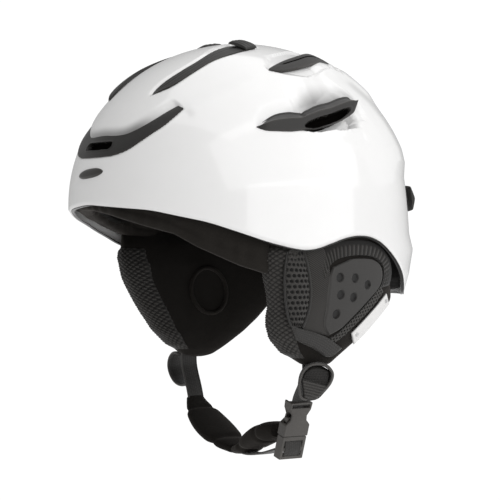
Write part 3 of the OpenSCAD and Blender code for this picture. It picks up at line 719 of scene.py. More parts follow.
# relief of the white shell: every airway sinks its band under the black trim,
# and the lip above it rolls over smoothly; q is folded to one half
def shellRelief(q):
    f = shellShape
    total = np.zeros(len(q))
    # front: deepest at the high edge, then a quadratic roll
    u, dl, dh, w, d = stripPlace(q, frontLow, frontHigh)
    near = d < 30
    fade = ease(w / 7) * ease((1.0 - u) / 0.03 + 0.02)
    v = np.clip(dl / w, 0, 1)
    inside = -(1.2 + f["frontDepth"] * v) * ease((dl + 0.4) / 1.8)
    inside -= (frontVent["slotDepth"] + 1.5) * ease((frontSlot(q[:, 0], q[:, 2]) + 2) / 2)
    roll = -(1.2 + f["frontDepth"]) * (1 - np.clip(dh / f["frontRoll"], 0, 1)) ** 2
    total += np.where(near, fade * np.where(dh > 0, roll, inside), 0)
    # crown: shallow band with a small lip
    u, dl, dh, w, d = stripPlace(q, crownOut, crownIn)
    near = d < 18
    fade = ease(w / 5) * ease(u / 0.02) * ease((1.0 - u) / 0.02 + 0.02)
    v = np.clip(dl / w, 0, 1)
    inside = -(1.3 + f["crownDepth"] * v) * ease((dl - 0.2) / 2.4)
    roll = -(1.3 + f["crownDepth"]) * (1 - np.clip(dh / 4.5, 0, 1)) ** 2
    total += np.where(near, fade * np.where(dh > 0, roll, inside), 0)
    # rear arches: band under the arch, notch below its rear half
    u, dl, dh, w, d = stripPlace(q, archLow, archHigh)
    near = d < 16
    fade = ease(w / 4) * ease(u / 0.03) * ease((1.0 - u) / 0.03)
    inside = -1.5 * ease((dl - 0.2) / 2.4)
    roll = -1.5 * (1 - np.clip(dh / 4.5, 0, 1)) ** 2
    notch = -1.4 * bell(dl + 2.5, 3) * ease((u - 0.4) / 0.2) * ease((0.97 - u) / 0.15)
    total += np.where(near, fade * np.where(dh > 0, roll, inside) + np.where(dl < 1, notch, 0), 0)
    # side: the scoop deepens from its outer boundary to the trim
    u, dl, dh, w, d = stripPlace(q, sideLow, sideHigh)
    near = d < 34
    fade = ease(w / 6) * ease(u / 0.02 + 0.05) * ease((1.0 - u) / 0.02 + 0.05)
    v = np.clip(dl / w, 0, 1)
    depth = 1.4 + f["sideDepth"] * bell(u - 0.62, 0.34)
    inside = -(1.4 + (depth - 1.4) * ease(v)) * ease((dl - 0.1) / 2.2)
    inside -= (sideVent["slotDepth"] + 1) * ease((sideSlot(u, v) + 0.2) / 0.2) * ease((dl - 0.1) / 2.2)
    reach = 4 + 14 * np.sin(np.pi * np.clip(u, 0, 1)) ** 0.8
    roll = -depth * (1 - np.clip(dh / reach, 0, 1)) ** 2
    under = -0.9 * bell(dl + 3, 4) * ease((u - 0.45) / 0.25) * ease((0.98 - u) / 0.2)
    total += np.where(near, fade * np.where(dh > 0, roll, inside) + np.where(dl < 0, under, 0), 0)
    # rear crown ridge and the soft shoulder line
    d, u = curveDistance(q, rearRidge)
    total += f["ridge"] * bell(d, 11) * ease(u / 0.25 + 0.1)
    d, u = curveDistance(q, shoulderLine)
    total += f["shoulder"] * bell(d, 7) * ease(u / 0.15) * ease((1 - u) / 0.25)
    return total


# painted shade above the front and side airways, standing in for the shade and dark reflection of the trim
# where the lip rolls in: strongest at the trim, gone a few mm above it
def paintedVentShade(q):
    f = ventShadeFade
    d, u = curveDistance(q, frontHigh)
    front = ease(1 - d / f["frontReach"]) ** 1.2 * ease((0.9 - u) / 0.4)
    d, u = curveDistance(q, sideHigh)
    where = bell(u - f["sideAt"], 0.27) * ease(u / 0.1) * ease((1 - u) / 0.12)
    side = ease(1 - d / (2 + f["sideReach"] * where)) ** 1.2 * where
    return np.maximum(front * f["front"], side * f["side"])


# points moved in or out by the relief of the place they lie at
def sunken(points, share):
    folded = onSkin(points.reshape(-1, 3), np.zeros(points.size // 3))
    folded[:, 0] = np.abs(folded[:, 0])
    relief = shellRelief(folded).reshape(points.shape[:2]) * share
    return points * (1 + relief / np.linalg.norm(points, axis=-1))[..., None]


def makeShell():
    f = shellShape
    t = np.arange(f["around"]) * 360 / f["around"]
    rim = lookup(rimTable, np.where(t > 180, 360 - t, t))
    s = np.concatenate([np.linspace(0, 0.72, f["fineRows"] + 1)[1:],
                        np.linspace(0.72, 1, f["coarseRows"] + 1)[1:]])
    s = s[:, None]
    outer = sunken(skinPoint(t[None], s, 0, rim[None]), 1)
    roll = np.clip((s - 0.992) / 0.008, 0, 1)
    outer = outer * (1 - 0.006 * roll[..., None] ** 2 * (1, 1, 0))
    si = np.linspace(1, 0, f["innerRows"] + 1)[:-1, None]
    inner = sunken(skinPoint(t[None], si, f["thick"], rim[None]), 1.12)
    points = np.concatenate([outer.reshape(-1, 3), inner.reshape(-1, 3),
                             [(0, 0, crownH), (0, 0, crownH - f["thick"])]])
    rows = len(s) + f["innerRows"]
    n = f["around"]
    k = np.arange(n)
    poleA = np.stack([np.full(n, rows * n), (k + 1) % n, k], -1)
    poleB = np.stack([np.full(n, rows * n + 1), (rows - 1) * n + k, (rows - 1) * n + (k + 1) % n], -1)
    faces = gridFaces(rows, n, closeV=True).tolist() + poleA.tolist() + poleB.tolist()
    border = np.concatenate([np.repeat(ease((s - 0.985) / 0.015), n, 1).ravel(),
                             np.zeros(len(inner.reshape(-1, 3)) + 2)])
    folded = outer.reshape(-1, 3) * (1, 1, 1)
    folded[:, 0] = np.abs(folded[:, 0])
    # painted shade above the airways, kept in the fade attribute
    fade = np.concatenate([paintedVentShade(folded), np.zeros(len(inner.reshape(-1, 3)) + 2)])
    shell = newPiece("whiteShell", points, faces, glossWhite, values={"border": border, "fade": fade},
                     sharp=60)
    place(shell, "helmet", "shell_white", "outer_shell")


makeShell()
print("shell made")


# painted shade: faces well inside a slot or groove take a near-black, dull material in place of the shade
# there
def paintSlotShade(piece):
    mesh = piece.data
    deep = np.zeros(len(mesh.vertices), np.float32)
    mesh.attributes["deep"].data.foreach_get("value", deep)
    corner = np.zeros(len(mesh.loops), int)
    mesh.loops.foreach_get("vertex_index", corner)
    first = np.zeros(len(mesh.polygons), int)
    mesh.polygons.foreach_get("loop_start", first)
    mesh.materials.append(slotShadeBlack)
    mesh.polygons.foreach_set("material_index", (deep[corner[first]] > 0.55).astype(np.int32))


# black trim lying in an airway: grid between two edge curves, height h above the shell's outside
def trimGrid(low, high, nu, nv, over=0.0):
    u = np.linspace(0, 1, nu)[:, None]
    v = np.linspace(0, 1 + over, nv)[None]
    a, b = spline(low, u[:, 0])[:, None], spline(high, u[:, 0])[:, None]
    return u + 0 * v, v + 0 * u, a + (b - a) * v[..., None], np.linalg.norm(b - a, axis=-1)


def trimPiece(name, base, height, thick, deep, body, nodes, mirror=1, line=0.0):
    top = onSkin(base, height)
    low = onSkin(base, height - thick)
    nu, nv = height.shape
    i, j = np.meshgrid(np.linspace(0, 1, nu), np.linspace(0, 1, nv), indexing="ij")
    border = ease(1 - j / 0.08)
    # border holds edge wear and, from line, the painted highlight along the side vent's ridge
    piece = slabPiece(name, top, low, mouldedBlack, values={"border": border * 0.5 + line, "deep": deep},
                      mirror=mirror)
    paintSlotShade(piece)
    return place(piece, body, "black_plastic", *nodes)


def makeFrontVent():
    f = frontVent
    both = lambda points: [(-x, y, z) for x, y, z in points[:0:-1]] + list(points)
    u, v, base, w = trimGrid(both(frontLow), both(frontHigh), 260, 46, 0.1)
    x, z = base[..., 0], base[..., 2]
    height = f["lip"] - f["fall"] * v ** 1.15 * ease(w / 7)
    inSlot = frontSlot(x, z)
    slot = ease(inSlot / 0.9)
    shelf = 0.9 * ease((inSlot + 1.6) / 1.6) * (1 - slot)
    trimPiece("frontVentFrame", base, height + shelf * 0.4 - f["slotDepth"] * slot, 1.8, slot, "helmet",
              ("front_vent_frame", "front_vent_mesh"))


crownVent = {"left": 0.3, "right": 3.6, "fall": 1.3}


def makeCrownVent(side, sign):
    u, v, base, w = trimGrid(crownOut, crownIn, 150, 20, 0.12)
    bulge = np.sin(np.pi * np.clip(u / 0.8, 0, 1)) ** 0.7
    lip = 0.6 * ease(u / 0.12) * ease((1.0 - u) / 0.3) + crownVent[side] * bulge
    height = lip - crownVent["fall"] * v
    groove = bell(v - 0.62, 0.05) * ease((u - 0.1) / 0.1)
    trimPiece("crownVent." + side, base, height - 0.4 * groove, 1.8 + crownVent[side], 0.6 * groove, "helmet",
              ("crown_vent_" + side,), sign)


# lower facet climbs to a ridge, upper facet falls behind it;
# a deep slot opens in the rear part of the lower facet
def makeSideVent(side, sign):
    f = sideVent
    u, v, base, w = trimGrid(sideLow, sideHigh, 220, 64, 0.1)
    at = f["ridgeFront"] + (f["ridgeRear"] - f["ridgeFront"]) * ease(u / 0.7)
    climb = f["lip"] + (f["ridge"] - f["lip"]) * ease(w / 12) * np.clip(v / at, 0, 1)
    drop = f["highFall"] + f["ridge"]
    fallen = f["ridge"] * ease(w / 12) - drop * (np.clip(v - at, 0, 1) / (1 - at)) ** 0.9
    height = np.where(v < at, climb, np.where(v < 1, fallen, -f["highFall"]))
    inSlot = sideSlot(u, v)
    slot = ease(inSlot / 0.16)
    lipRound = 0.5 * ease((inSlot + 0.16) / 0.16) * (1 - slot)
    pocket = ease((u - 0.34) / 0.05) * ease((0.6 - u) / 0.06) * ease((v - at) / (1 - at) / 0.4)
    notch = bell(u - 0.4, 0.015) * ease((v - at) / 0.1)
    height = height + lipRound * 0.4 - f["slotDepth"] * slot - 1.2 * notch - 0.8 * pocket
    # painted highlight along the ridge crease, added to the border attribute
    ridgeHighlight = 1.6 * bell(v - at, 0.03) * ease(w / 8) * (1 - slot)
    trimPiece("sideVent." + side, base, height, 2.2, slot, "helmet", ("side_vent_" + side,), sign, ridgeHighlight)


archVent = {"rise": 2.6, "lip": 0.6}


def makeArchVent(side, sign):
    f = archVent
    u, v, base, w = trimGrid(archLow, archHigh, 110, 28, 0.06)
    arched = f["rise"] * np.sin(np.pi * np.clip(u, 0, 1)) ** 0.8
    height = f["lip"] + arched * (0.55 + 0.45 * np.sin(np.pi * v / 1.06))
    height -= 1.8 * ease((v - 0.8) / 0.25)
    groove = bell(v - 0.5, 0.06) * ease((u - 0.12) / 0.1) * ease((0.8 - u) / 0.1)
    trimPiece("archVent." + side, base, height - 0.8 * groove, 2.4, 0.7 * groove, "helmet",
              ("rear_vent_" + side,), sign)


shutterCap = {"rise": 2.6, "under": 0.9, "ribs": 4}


# thumb cap of the shutter: a rounded block on the shell with a few grip ribs across it
def makeShutterCap(side, sign):
    f = shutterCap
    a = [(37.5, -25, 113), (36.5, -21, 114), (35.5, -17, 115), (34.5, -13, 116)]
    b = [(15, -25, 119.5), (13.5, -21, 120.5), (12.5, -17, 121), (11.5, -12, 122)]
    u, v, base, w = trimGrid(a, b, 44, 44)
    rounded = (1 - np.abs(2 * u - 1) ** 5) * (1 - np.abs(2 * v - 1) ** 5)
    ribs = 0.25 * np.cos(u * 2 * np.pi * f["ribs"]) * ease(rounded * 2 - 0.6)
    domed = f["rise"] * np.clip(rounded, 0, 1) ** 0.35
    height = f["under"] + domed * (0.85 + 0.15 * np.sin(np.pi * v)) + ribs
    top, low = onSkin(base, height), onSkin(base, 0 * height + f["under"] - 0.2)
    cap = slabPiece("shutterCap." + side, top, low, mouldedBlack, values={"border": 0 * u, "deep": 0 * u},
                    mirror=sign)
    place(cap, "slider_" + side, "black_plastic", "vent_slider_" + side)


makeFrontVent()
for sideName, sideSign in sides:
    makeCrownVent(sideName, sideSign)
    makeSideVent(sideName, sideSign)
    makeArchVent(sideName, sideSign)
    makeShutterCap(sideName, sideSign)
print("vents made")

browBadge = {"half": 16, "height": 3.6, "middle": 21.3, "rise": 1.1}


# plain raised badge: a long rounded lozenge, thickest along its middle
def makeBadge():
    f = browBadge
    u = np.linspace(-1, 1, 90)[:, None]
    v = np.linspace(-1, 1, 17)[None]
    half = f["height"] * (1 - np.abs(u) ** 2.6) ** 0.6
    x = f["half"] * u + 0 * v
    z = f["middle"] + half * v + 1.2 * u
    base = np.stack([x, -136 + 0 * x, z], -1)
    height = 0.25 + f["rise"] * (1 - np.abs(v) ** 3) * (1 - np.abs(u) ** 6)
    top, low = onSkin(base, height), onSkin(base, 0 * height - 0.6)
    border = ease(np.abs(v) * 4 - 3) + 0 * u
    badge = slabPiece("browBadge", top, low, badgeGrey, values={"border": border * 0.5, "deep": 0 * border})
    place(badge, "helmet", "badge", "front_badge")


# gasket under the shell's edge: a rounded black lip with a groove, swept right round the rim table
rimLip = {"in": 2.6}


def makeRim():
    f = rimLip
    t = np.arange(720) * 0.5
    z = lookup(rimTable, np.where(t > 180, 360 - t, t))[:, None]
    offset = np.array([0.5, 0.1, -0.15, 0.05, 0.5, 0.85, 1.1, 1.35, 1.7, 2.3, f["in"], 2.2])[None]
    drop = np.array([-0.1, 0.1, 0.5, 0.95, 1.1, 0.95, 0.85, 0.95, 1.2, 1.1, 0.5, -0.1])[None]
    rings = atHeight(t[:, None], z - drop, 0 * offset) * 1.0
    flat = rings * (1, 1, 0)
    inward = flat / np.linalg.norm(flat, axis=-1, keepdims=True)
    brow = ease((75 - np.where(t > 180, 360 - t, t)) / 15)[:, None]
    rings = rings - inward * (offset + 2.2 * brow)[..., None] + (drop * 0.5 * brow)[..., None] * (0, 0, 1)
    faces = gridFaces(len(t), offset.shape[1], True, True)
    rim = newPiece("rimGasket", rings, faces, gasketBlack,
                   values={"border": np.zeros(len(rings.reshape(-1, 3))),
                           "deep": np.zeros(len(rings.reshape(-1, 3)))})
    place(rim, "helmet", "black_plastic", "rim_edge")


linerShape = {"outer": 3.2, "inner": 21.8, "channels": 5, "channelDepth": 3.5}


# foam liner: outer and inner skins with rounded lower edge and air channels running back over the head
def makeLiner():
    f = linerShape
    n, rows = 240, 60
    t = np.arange(n) * 360 / n
    edge = lookup(foamTable, np.where(t > 180, 360 - t, t))[None]
    s = np.linspace(0, 1, rows + 1)[1:, None]
    outer = sunken(skinPoint(t[None], s, f["outer"], edge), 1.15)
    turn = np.linspace(0, np.pi, 7)[1:-1, None]
    mid = (f["outer"] + f["inner"]) / 2
    lip = [atHeight(t, edge[0] - 2.0 * np.sin(a), mid - (mid - f["outer"]) * np.cos(a)) for a in turn[:, 0]]
    inner = skinPoint(t[None], s[::-1], f["inner"], edge)
    x = inner[..., 0]
    lane = np.cos(np.clip(x / 80, -1, 1) * np.pi * f["channels"] * 0.5) ** 12
    high = ease((inner[..., 2] - 30) / 20)
    inner = inner * (1 + f["channelDepth"] * lane * high / np.linalg.norm(inner, axis=-1))[..., None]
    points = np.concatenate([outer.reshape(-1, 3), np.array(lip).reshape(-1, 3), inner.reshape(-1, 3),
                             [(0, 0, crownH - f["outer"]), (0, 0, crownH - f["inner"])]])
    total = rows * 2 + len(lip)
    k = np.arange(n)
    poleA = np.stack([np.full(n, total * n), (k + 1) % n, k], -1)
    poleB = np.stack([np.full(n, total * n + 1), (total - 1) * n + k, (total - 1) * n + (k + 1) % n], -1)
    faces = gridFaces(total, n, closeV=True).tolist() + poleA.tolist() + poleB.tolist()
    liner = newPiece("foamLiner", points, faces, beadFoam)
    place(liner, "helmet", "foam_black", "foam_liner")


makeBadge()
makeRim()
makeLiner()
print("badge, rim and liner made")


# pad on the inside of the helmet: pillow between angles and heights, full in the middle, tight at its edges
def insidePad(name, node, body, t0, t1, z0, z1, depth, thick, nu=40, nv=16, quilts=1, mirror=1, cap=3,
              material=None, fill=0.5):
    u = np.linspace(0, 1, nu)[:, None]
    v = np.linspace(0, 1, nv)[None]
    t, z = t0 + (t1 - t0) * u + 0 * v, z0 + (z1 - z0) * v + 0 * u
    pillow = (1 - np.abs(2 * v - 1) ** 3) * (1 - np.abs(2 * u - 1) ** 8)
    lane = 1 - 0.35 * np.abs(np.cos(np.pi * quilts * u)) ** 14 * (quilts > 1)
    full = thick * (0.22 + 0.78 * np.clip(pillow, 0, 1) ** 0.6 * lane)
    top = atHeight(t, z, depth)
    low = atHeight(t, z, depth + full)
    piece = slabPiece(name, low, top, material or liningVelour, sharp=50, mirror=mirror)
    rim = np.zeros((nu, nv), bool)
    rim[[0, -1]] = True
    rim[:, [0, -1]] = True
    seam = np.abs(lane + 0 * v) < 0.8
    swell(piece, np.concatenate([(rim | seam).ravel(), np.ones(nu * nv, bool)]), cap, 3)
    smooth = piece.modifiers.new("Subdivision", "SUBSURF")
    smooth.levels = smooth.render_levels = 1
    return place(piece, body, "velour", node, padded=fill)


insideDepth = linerShape["inner"] + 0.2
insidePad("browPad", "brow_pad", "helmet", -58, 58, 3, 33, insideDepth, 8, 90, 18, quilts=5)
insidePad("sidePad.left", "side_pad_left", "helmet", 72, 108, 6, 34, insideDepth, 7, 30, 18)
insidePad("sidePad.right", "side_pad_right", "helmet", 72, 108, 6, 34, insideDepth, 7, 30, 18, mirror=-1)
insidePad("napePad", "nape_pad", "cradle", 147, 213, -55, -31, insideDepth + 10.5, 5, 50, 14, quilts=3)


# lower edge of the brow lining against the angle from the front, wearer's left positive
liningLow = np.array([
    (-84, -27), (-75, -26), (-65, -21), (-50, -13), (-35, -7.5), (-20, -4.5), (-5, -5), (5, -8), (9, -9.5),
    (20, -14.5), (37, -22.5), (45, -31), (61, -45), (69, -50), (72, -50.5)])
browLining = {"outer": 6.5, "thick": 13, "top": 16, "seam": 9, "wrinkle": 0.7, "cap": 2.5}


# padded lining under the brow: rounded slices with a seam above the lower edge and soft puckers along it
def makeBrowLining():
    f = browLining
    t = np.linspace(-84, 71, 190)[:, None]
    low = lookup(liningLow, t)
    a = np.linspace(0, 2 * np.pi, 49)[None, :-1]
    tall = f["top"] - low
    ends = ease((t + 84) / 5) * ease((71 - t) / 3)
    z = low + tall * (0.5 - 0.5 * signedPower(np.cos(a), 0.55))
    depth = np.abs(np.sin(a)) ** 0.5 * np.sign(np.sin(a))
    seam = bell(z - low - f["seam"], 1.3) + 0.6 * bell(z - low - 2.3 * f["seam"], 1.5)
    pucker = f["wrinkle"] * np.sin(0.9 * t + 2 * np.sin(0.21 * t)) * bell(z - low - f["seam"], 7)
    half = f["thick"] / 2 * (0.5 + 0.5 * ends)
    offset = f["outer"] + f["thick"] / 2 - (half * depth) * (1 - 0.3 * seam) + pucker
    k = levelAt(np.abs(t) + 0 * z, z, crownH - offset)
    sn, cs = np.sin(np.radians(t)), np.cos(np.radians(t))
    x = (halfW - offset) * k * signedPower(sn, 2 / planPower)
    y = -(halfL - offset) * k * signedPower(cs, 2 / planPower)
    piece = ringPiece("browLining", np.stack([x, y, z], -1), liningVelour, sharp=80)
    held = np.append(((seam > 0.5) | (z > 6) | (ends < 0.5)).ravel(), [True, True])
    swell(piece, held, f["cap"], 3)
    smooth = piece.modifiers.new("Subdivision", "SUBSURF")
    smooth.levels = smooth.render_levels = 1
    place(piece, "helmet", "velour", padded=0.6)


makeBrowLining()


crownPad = {"halfX": 29, "front": -47, "rear": 50, "thick": 6.5}


def makeCrownPad():
    f = crownPad
    u = np.linspace(-1, 1, 41)[:, None]
    v = np.linspace(-1, 1, 31)[None]
    x = f["halfX"] * u * np.sqrt(1 - 0.3 * v ** 2)
    y = (f["front"] + f["rear"]) / 2 + (f["rear"] - f["front"]) / 2 * v * np.sqrt(1 - 0.3 * u ** 2)
    base = np.stack([x, y, 100 + 0 * x], -1)
    edge = np.clip((1 - np.abs(u) ** 4) * (1 - np.abs(v) ** 4), 0, 1)
    top = onSkin(base, -insideDepth + 0 * x)
    low = onSkin(base, -insideDepth - f["thick"] * (0.15 + 0.85 * edge ** 0.6))
    piece = slabPiece("crownPad", low, top, liningVelour, sharp=50)
    rim = np.zeros(x.shape, bool)
    rim[[0, -1]] = True
    rim[:, [0, -1]] = True
    rim[13] = rim[27] = True
    swell(piece, np.concatenate([rim.ravel(), np.ones(x.size, bool)]), 3, 3)
    smooth = piece.modifiers.new("Subdivision", "SUBSURF")
    smooth.levels = smooth.render_levels = 1
    place(piece, "helmet", "velour", "crown_pad", padded=0.5)


makeCrownPad()
print("inside pads made")


# how far stuffing pushes each pad's front and rear edge out of the plain section, and how full it is
padPush = {
    "left": np.array([(-119, 5, 2, 1), (-108, 9, 4, 1), (-98, 9, 6, 1), (-88, 6, 9, 1), (-76, 0, 13, 0.9),
                      (-70, -2, 13, 0.84), (-66, -3, 8, 0.8), (-56, -5, 2, 0.76), (-40, -6, 0, 0.72),
                      (-18, -4, 0, 0.8)]),
    "right": np.array([(-119, 3, 6, 1), (-108, 5, 8, 1), (-98, 6, 8, 1), (-88, 6, 6, 1), (-75, 7, 3, 1),
                       (-60, 8, 0, 1), (-40, 8, 0, 1), (-18, 5, 0, 0.9)])}


# ear pad body: at each height a rounded slice between its front and rear edges; grow moves its skin out
def cushionSkin(a, z, grow=0.0, side="left"):
    push = padPush[side]
    f = lookup(padFront, z) - grow - lookup(push[:, [0, 1]], z)
    r = lookup(padRear, z) + grow + lookup(push[:, [0, 2]], z)
    thick = 26 * lookup(padShare, z) * lookup(push[:, [0, 3]], z)
    k = signedPower(np.sin(np.radians(a)), 0.75)
    y = (f + r) / 2 + (r - f) / 2 * signedPower(np.cos(np.radians(a)), 0.75)
    return onPad(y, z, -thick / 2 + (thick / 2 + grow) * k)


earPad = {"bottom": -118.6, "top": -18.4, "rows": 46, "around": 72, "cap": 5}


def makeCushion(side, sign):
    f = earPad
    z = f["bottom"] + (f["top"] - f["bottom"]) * ease(np.linspace(0.06, 0.94, f["rows"]))[:, None]
    z[0], z[-1] = f["bottom"], f["top"]
    a = np.arange(f["around"])[None] * 360 / f["around"]
    rings = cushionSkin(a + 0 * z, z + 0 * a, 0, side)
    rings[0] = rings[0].mean(0) + (rings[0] - rings[0].mean(0)) * 0.6
    piece = ringPiece("earCushion." + side, rings, brushedVelour, sharp=70, mirror=sign)
    y, zz = rings[..., 1], rings[..., 2]
    outerFace = (a + 0 * z < 172) & (a + 0 * z > 4)
    nearRing = (y - 18) ** 2 + (zz + 66) ** 2 < 21 ** 2
    held = outerFace | nearRing
    held[[0, 1, -2, -1]] = True
    swell(piece, np.append(held.ravel(), [True, True]), f["cap"])
    smooth = piece.modifiers.new("Subdivision", "SUBSURF")
    smooth.levels = smooth.render_levels = 1
    place(piece, side + "_pad", "velour", "ear_cushion_" + side, padded=0.65)


# patch on the outside of the ear pad between two edges of (y, z) points; height comes from the caller
def patchGrid(first, second, nu, nv):
    u = np.linspace(0, 1, nu)[:, None]
    v = np.linspace(0, 1, nv)[None]
    a, b = spline(first, u[:, 0])[:, None], spline(second, u[:, 0])[:, None]
    p = a + (b - a) * v[..., None]
    along = np.concatenate([[0], np.cumsum(np.linalg.norm(np.diff(p[:, nv // 2], axis=0), axis=1))])
    width = np.linalg.norm(b - a, axis=-1)
    uv = np.stack(np.broadcast_arrays(along[:, None], v * width), -1)
    return u + 0 * v, v + 0 * u, p[..., 0], p[..., 1], uv


def edgeFall(u, v, share=0.06):
    e = np.minimum(np.minimum(u, 1 - u), np.minimum(v, 1 - v))
    return ease(e / share)


earCover = {"rise": 1.5, "holeR": 3.2, "holeDepth": 1.6}
coverFront = [(4.5, -46), (1.8, -53), (1.2, -62), (1, -76), (1.6, -88), (8, -95.5)]
coverBack = [(22, -40), (44, -40.5), (57, -47), (57, -59), (40, -73), (17, -91.5)]
coverHoles = [(11, -53.5), (26, -54), (40, -59), (13, -66), (26, -68), (11, -80)]


def makeCover(side, sign):
    f = earCover
    u, v, y, z, uv = patchGrid(coverFront, coverBack, 130, 120)
    fall = edgeFall(u, v, 0.035)
    hole = np.zeros(y.shape)
    for cy, cz in coverHoles:
        r = np.sqrt(((y - cy) * 1.0) ** 2 + (z - cz) ** 2)
        hole = np.maximum(hole, ease((f["holeR"] + 0.5 - r) / 0.8))
    dish = 0.5 * ease((v - 0.05) / 0.3)
    height = 0.4 + f["rise"] * (0.25 + 0.75 * fall) + dish * 0.6 - f["holeDepth"] * hole
    border = (1 - fall) * ease(edgeFall(u, v, 0.012))
    piece = slabPiece("earCover." + side, onPad(y, z, height), onPad(y, z, 0 * height - 0.8), coverRubber,
                      values={"hole": hole, "border": border}, mirror=sign, sharp=55)
    place(piece, side + "_pad", "black_plastic", "ear_cover_" + side)


earGusset = {"pitchU": 3.9, "pitchV": 3.4, "holeR": 1.2, "depth": 1.3}
gussetFront = [(-33, -34), (-34.5, -44), (-35, -52), (-34, -62), (-32, -72), (-29, -81), (-25, -88)]
gussetBack = [(-22, -31), (-19, -45), (-17, -52), (-15, -62), (-14.5, -72), (-15.5, -81), (-18, -89)]


def makeGusset(side, sign):
    f = earGusset
    u, v, y, z, uv = patchGrid(gussetFront, gussetBack, 130, 74)
    row = uv[..., 0] / f["pitchU"]
    col = v * 5.0
    ru = row - np.round(row)
    odd = np.round(row) % 2
    rv = col + 0.5 * odd - np.round(col + 0.5 * odd)
    r = np.sqrt((ru * f["pitchU"]) ** 2 + (rv * f["pitchV"]) ** 2)
    inside = ease((edgeFall(u, v, 0.05) - 0.3) / 0.3)
    hole = ease((f["holeR"] + 0.35 - r) / 0.6) * inside
    under = ease((-35 - z) / 17)
    bulge = 2.4 * np.sin(np.pi * v) ** 0.8 * under * ease((1 - u) / 0.1)
    height = 0.1 + 0.4 * under + bulge - f["depth"] * hole * (0.4 + 0.6 * under)
    piece = slabPiece("earGusset." + side, onPad(y, z, height), onPad(y, z, 0 * height - 1.0), spacerMesh,
                      uv=uv,
                      values={"hole": hole}, mirror=sign, sharp=60)
    place(piece, side + "_pad", "mesh", "ear_mesh_" + side)


frontRoll = {"grow": 1.0, "knit": 1.3, "pitch": 3.6}


# knitted roll round the pad's front edge: coarse diamonds raised out of the cushion's own skin
def makeFrontRoll(side, sign):
    f = frontRoll
    z = np.linspace(-31, -112, 190)[:, None]
    start = 122 + 10 * ease((-80 - z) / 25)
    a = start + (236 - start) * np.linspace(0, 1, 96)[None]
    zz = z + 0 * a
    sides = np.minimum(ease((a - start) / 6), ease((236 - a) / 6))
    edge = sides * ease((zz + 112) / 4) * ease((-31 - zz) / 4)
    along = (zz * 1.05) / f["pitch"]
    across = (a - 126) * 0.28 / f["pitch"]
    loops = np.abs(np.sin(np.pi * (along + across)) * np.sin(np.pi * (along - across)))
    crest = loops ** 0.7
    grow = f["grow"] * edge + f["knit"] * crest * edge - 0.4 * (1 - edge)
    top = cushionSkin(a, zz, grow + 0.5 * ease((-40 - zz) / 10), side)
    low = cushionSkin(a, zz, 0 * grow - 1.2, side)
    uv = np.stack([zz, a * 0.28], -1)
    # crest: painted highlight on the knit diamonds, painted shade between them
    piece = slabPiece("frontRoll." + side, top, low, ribbedKnit, uv=uv, values={"crest": crest * 1.2},
                      mirror=sign,
                      sharp=60)
    place(piece, side + "_pad", "knit")


# ribbed strip between gusset and cover: fine slanting ribs that die out downwards
def makeRibStrip(side, sign):
    first = [(-21, -30), (-17.5, -43), (-15.5, -52), (-13.5, -62), (-13, -72), (-14, -82), (-16, -91)]
    second = [(-5, -31), (0, -41), (2.5, -52), (1.8, -62), (1.6, -74), (2, -86), (9, -96)]
    u, v, y, z, uv = patchGrid(first, second, 210, 46)
    lean = (z + 0.55 * y) / 1.45
    ribs = 0.5 + 0.5 * np.sin(2 * np.pi * lean)
    fade = ease((z + 80) / 20)
    fall = edgeFall(u, v, 0.05)
    height = 0.35 + 0.7 * fall * np.sin(np.pi * v) ** 0.5 + 0.32 * ribs * fade * fall
    # crest: painted highlight on the rib crests, painted shade in the troughs, even mid tone where the ribs
    # die out
    crest = ribs * fade + 0.62 * (1 - fade)
    piece = slabPiece("ribStrip." + side, onPad(y, z, height), onPad(y, z, 0 * height - 1.0), ribbedKnit,
                      uv=uv,
                      values={"crest": crest}, mirror=sign, sharp=70)
    place(piece, side + "_pad", "knit")


# ribs fanned round the top and back of the cover, then a mesh row along its lower rear edge
def makeRibFan(side, sign):
    inner = [(-3, -56), (1, -46), (8, -40.5), (20, -38), (34, -37.5), (48, -39), (58, -45), (60, -54),
             (56, -62)]
    outer = [(-9, -40), (-4, -33), (7, -28), (21, -26.5), (37, -26.5), (54, -30), (68, -39), (74, -50),
             (72, -60)]
    u, v, y, z, uv = patchGrid(inner, outer, 330, 40)
    count = 27
    ribs = (0.5 + 0.5 * np.cos(2 * np.pi * count * u)) ** 1.2
    extent = ease((0.78 - v) / 0.2)
    rear = ease((u - 0.78) / 0.08)
    cross = (0.5 + 0.5 * np.cos(2 * np.pi * v * 4.5))
    pattern = ribs * (1 - rear) + rear * ribs * cross
    fall = edgeFall(u, v, 0.03)
    height = 0.35 + 0.75 * fall + 0.75 * pattern * extent * fall - 1.2 * v ** 2
    # crest: painted highlight on the ribs, painted shade in their troughs and painted shadow on the smooth
    # band beyond them
    piece = slabPiece("ribFan." + side, onPad(y, z, height), onPad(y, z, 0 * height - 2.0), ribbedKnit, uv=uv,
                      values={"crest": pattern * extent * 0.85 + 0.06}, mirror=sign, sharp=70)
    place(piece, side + "_pad", "knit")


def makeRearMesh(side, sign):
    first = [(57.5, -60), (49, -67.5), (40, -75), (29, -84), (17, -93.5), (9, -98)]
    second = [(63, -64.5), (54, -72.5), (44, -80.5), (32, -89.5), (20, -98.5), (12, -103)]
    u, v, y, z, uv = patchGrid(first, second, 190, 26)
    row, col = uv[..., 0] / 2.7, v * 2.6
    ru = row - np.round(row)
    rv = col + 0.5 * (np.round(row) % 2) - np.round(col + 0.5 * (np.round(row) % 2))
    hole = ease((1.0 - np.sqrt((ru * 2.7) ** 2 + (rv * 2.8) ** 2)) / 0.5)
    fall = edgeFall(u, v, 0.05)
    height = 0.3 + 1.0 * fall - 0.9 * hole * fall
    piece = slabPiece("rearMesh." + side, onPad(y, z, height), onPad(y, z, 0 * height - 1.0), spacerMesh,
                      uv=uv,
                      values={"hole": hole * fall}, mirror=sign, sharp=60)
    place(piece, side + "_pad", "mesh")


strapBand = {"rise": 1.6}


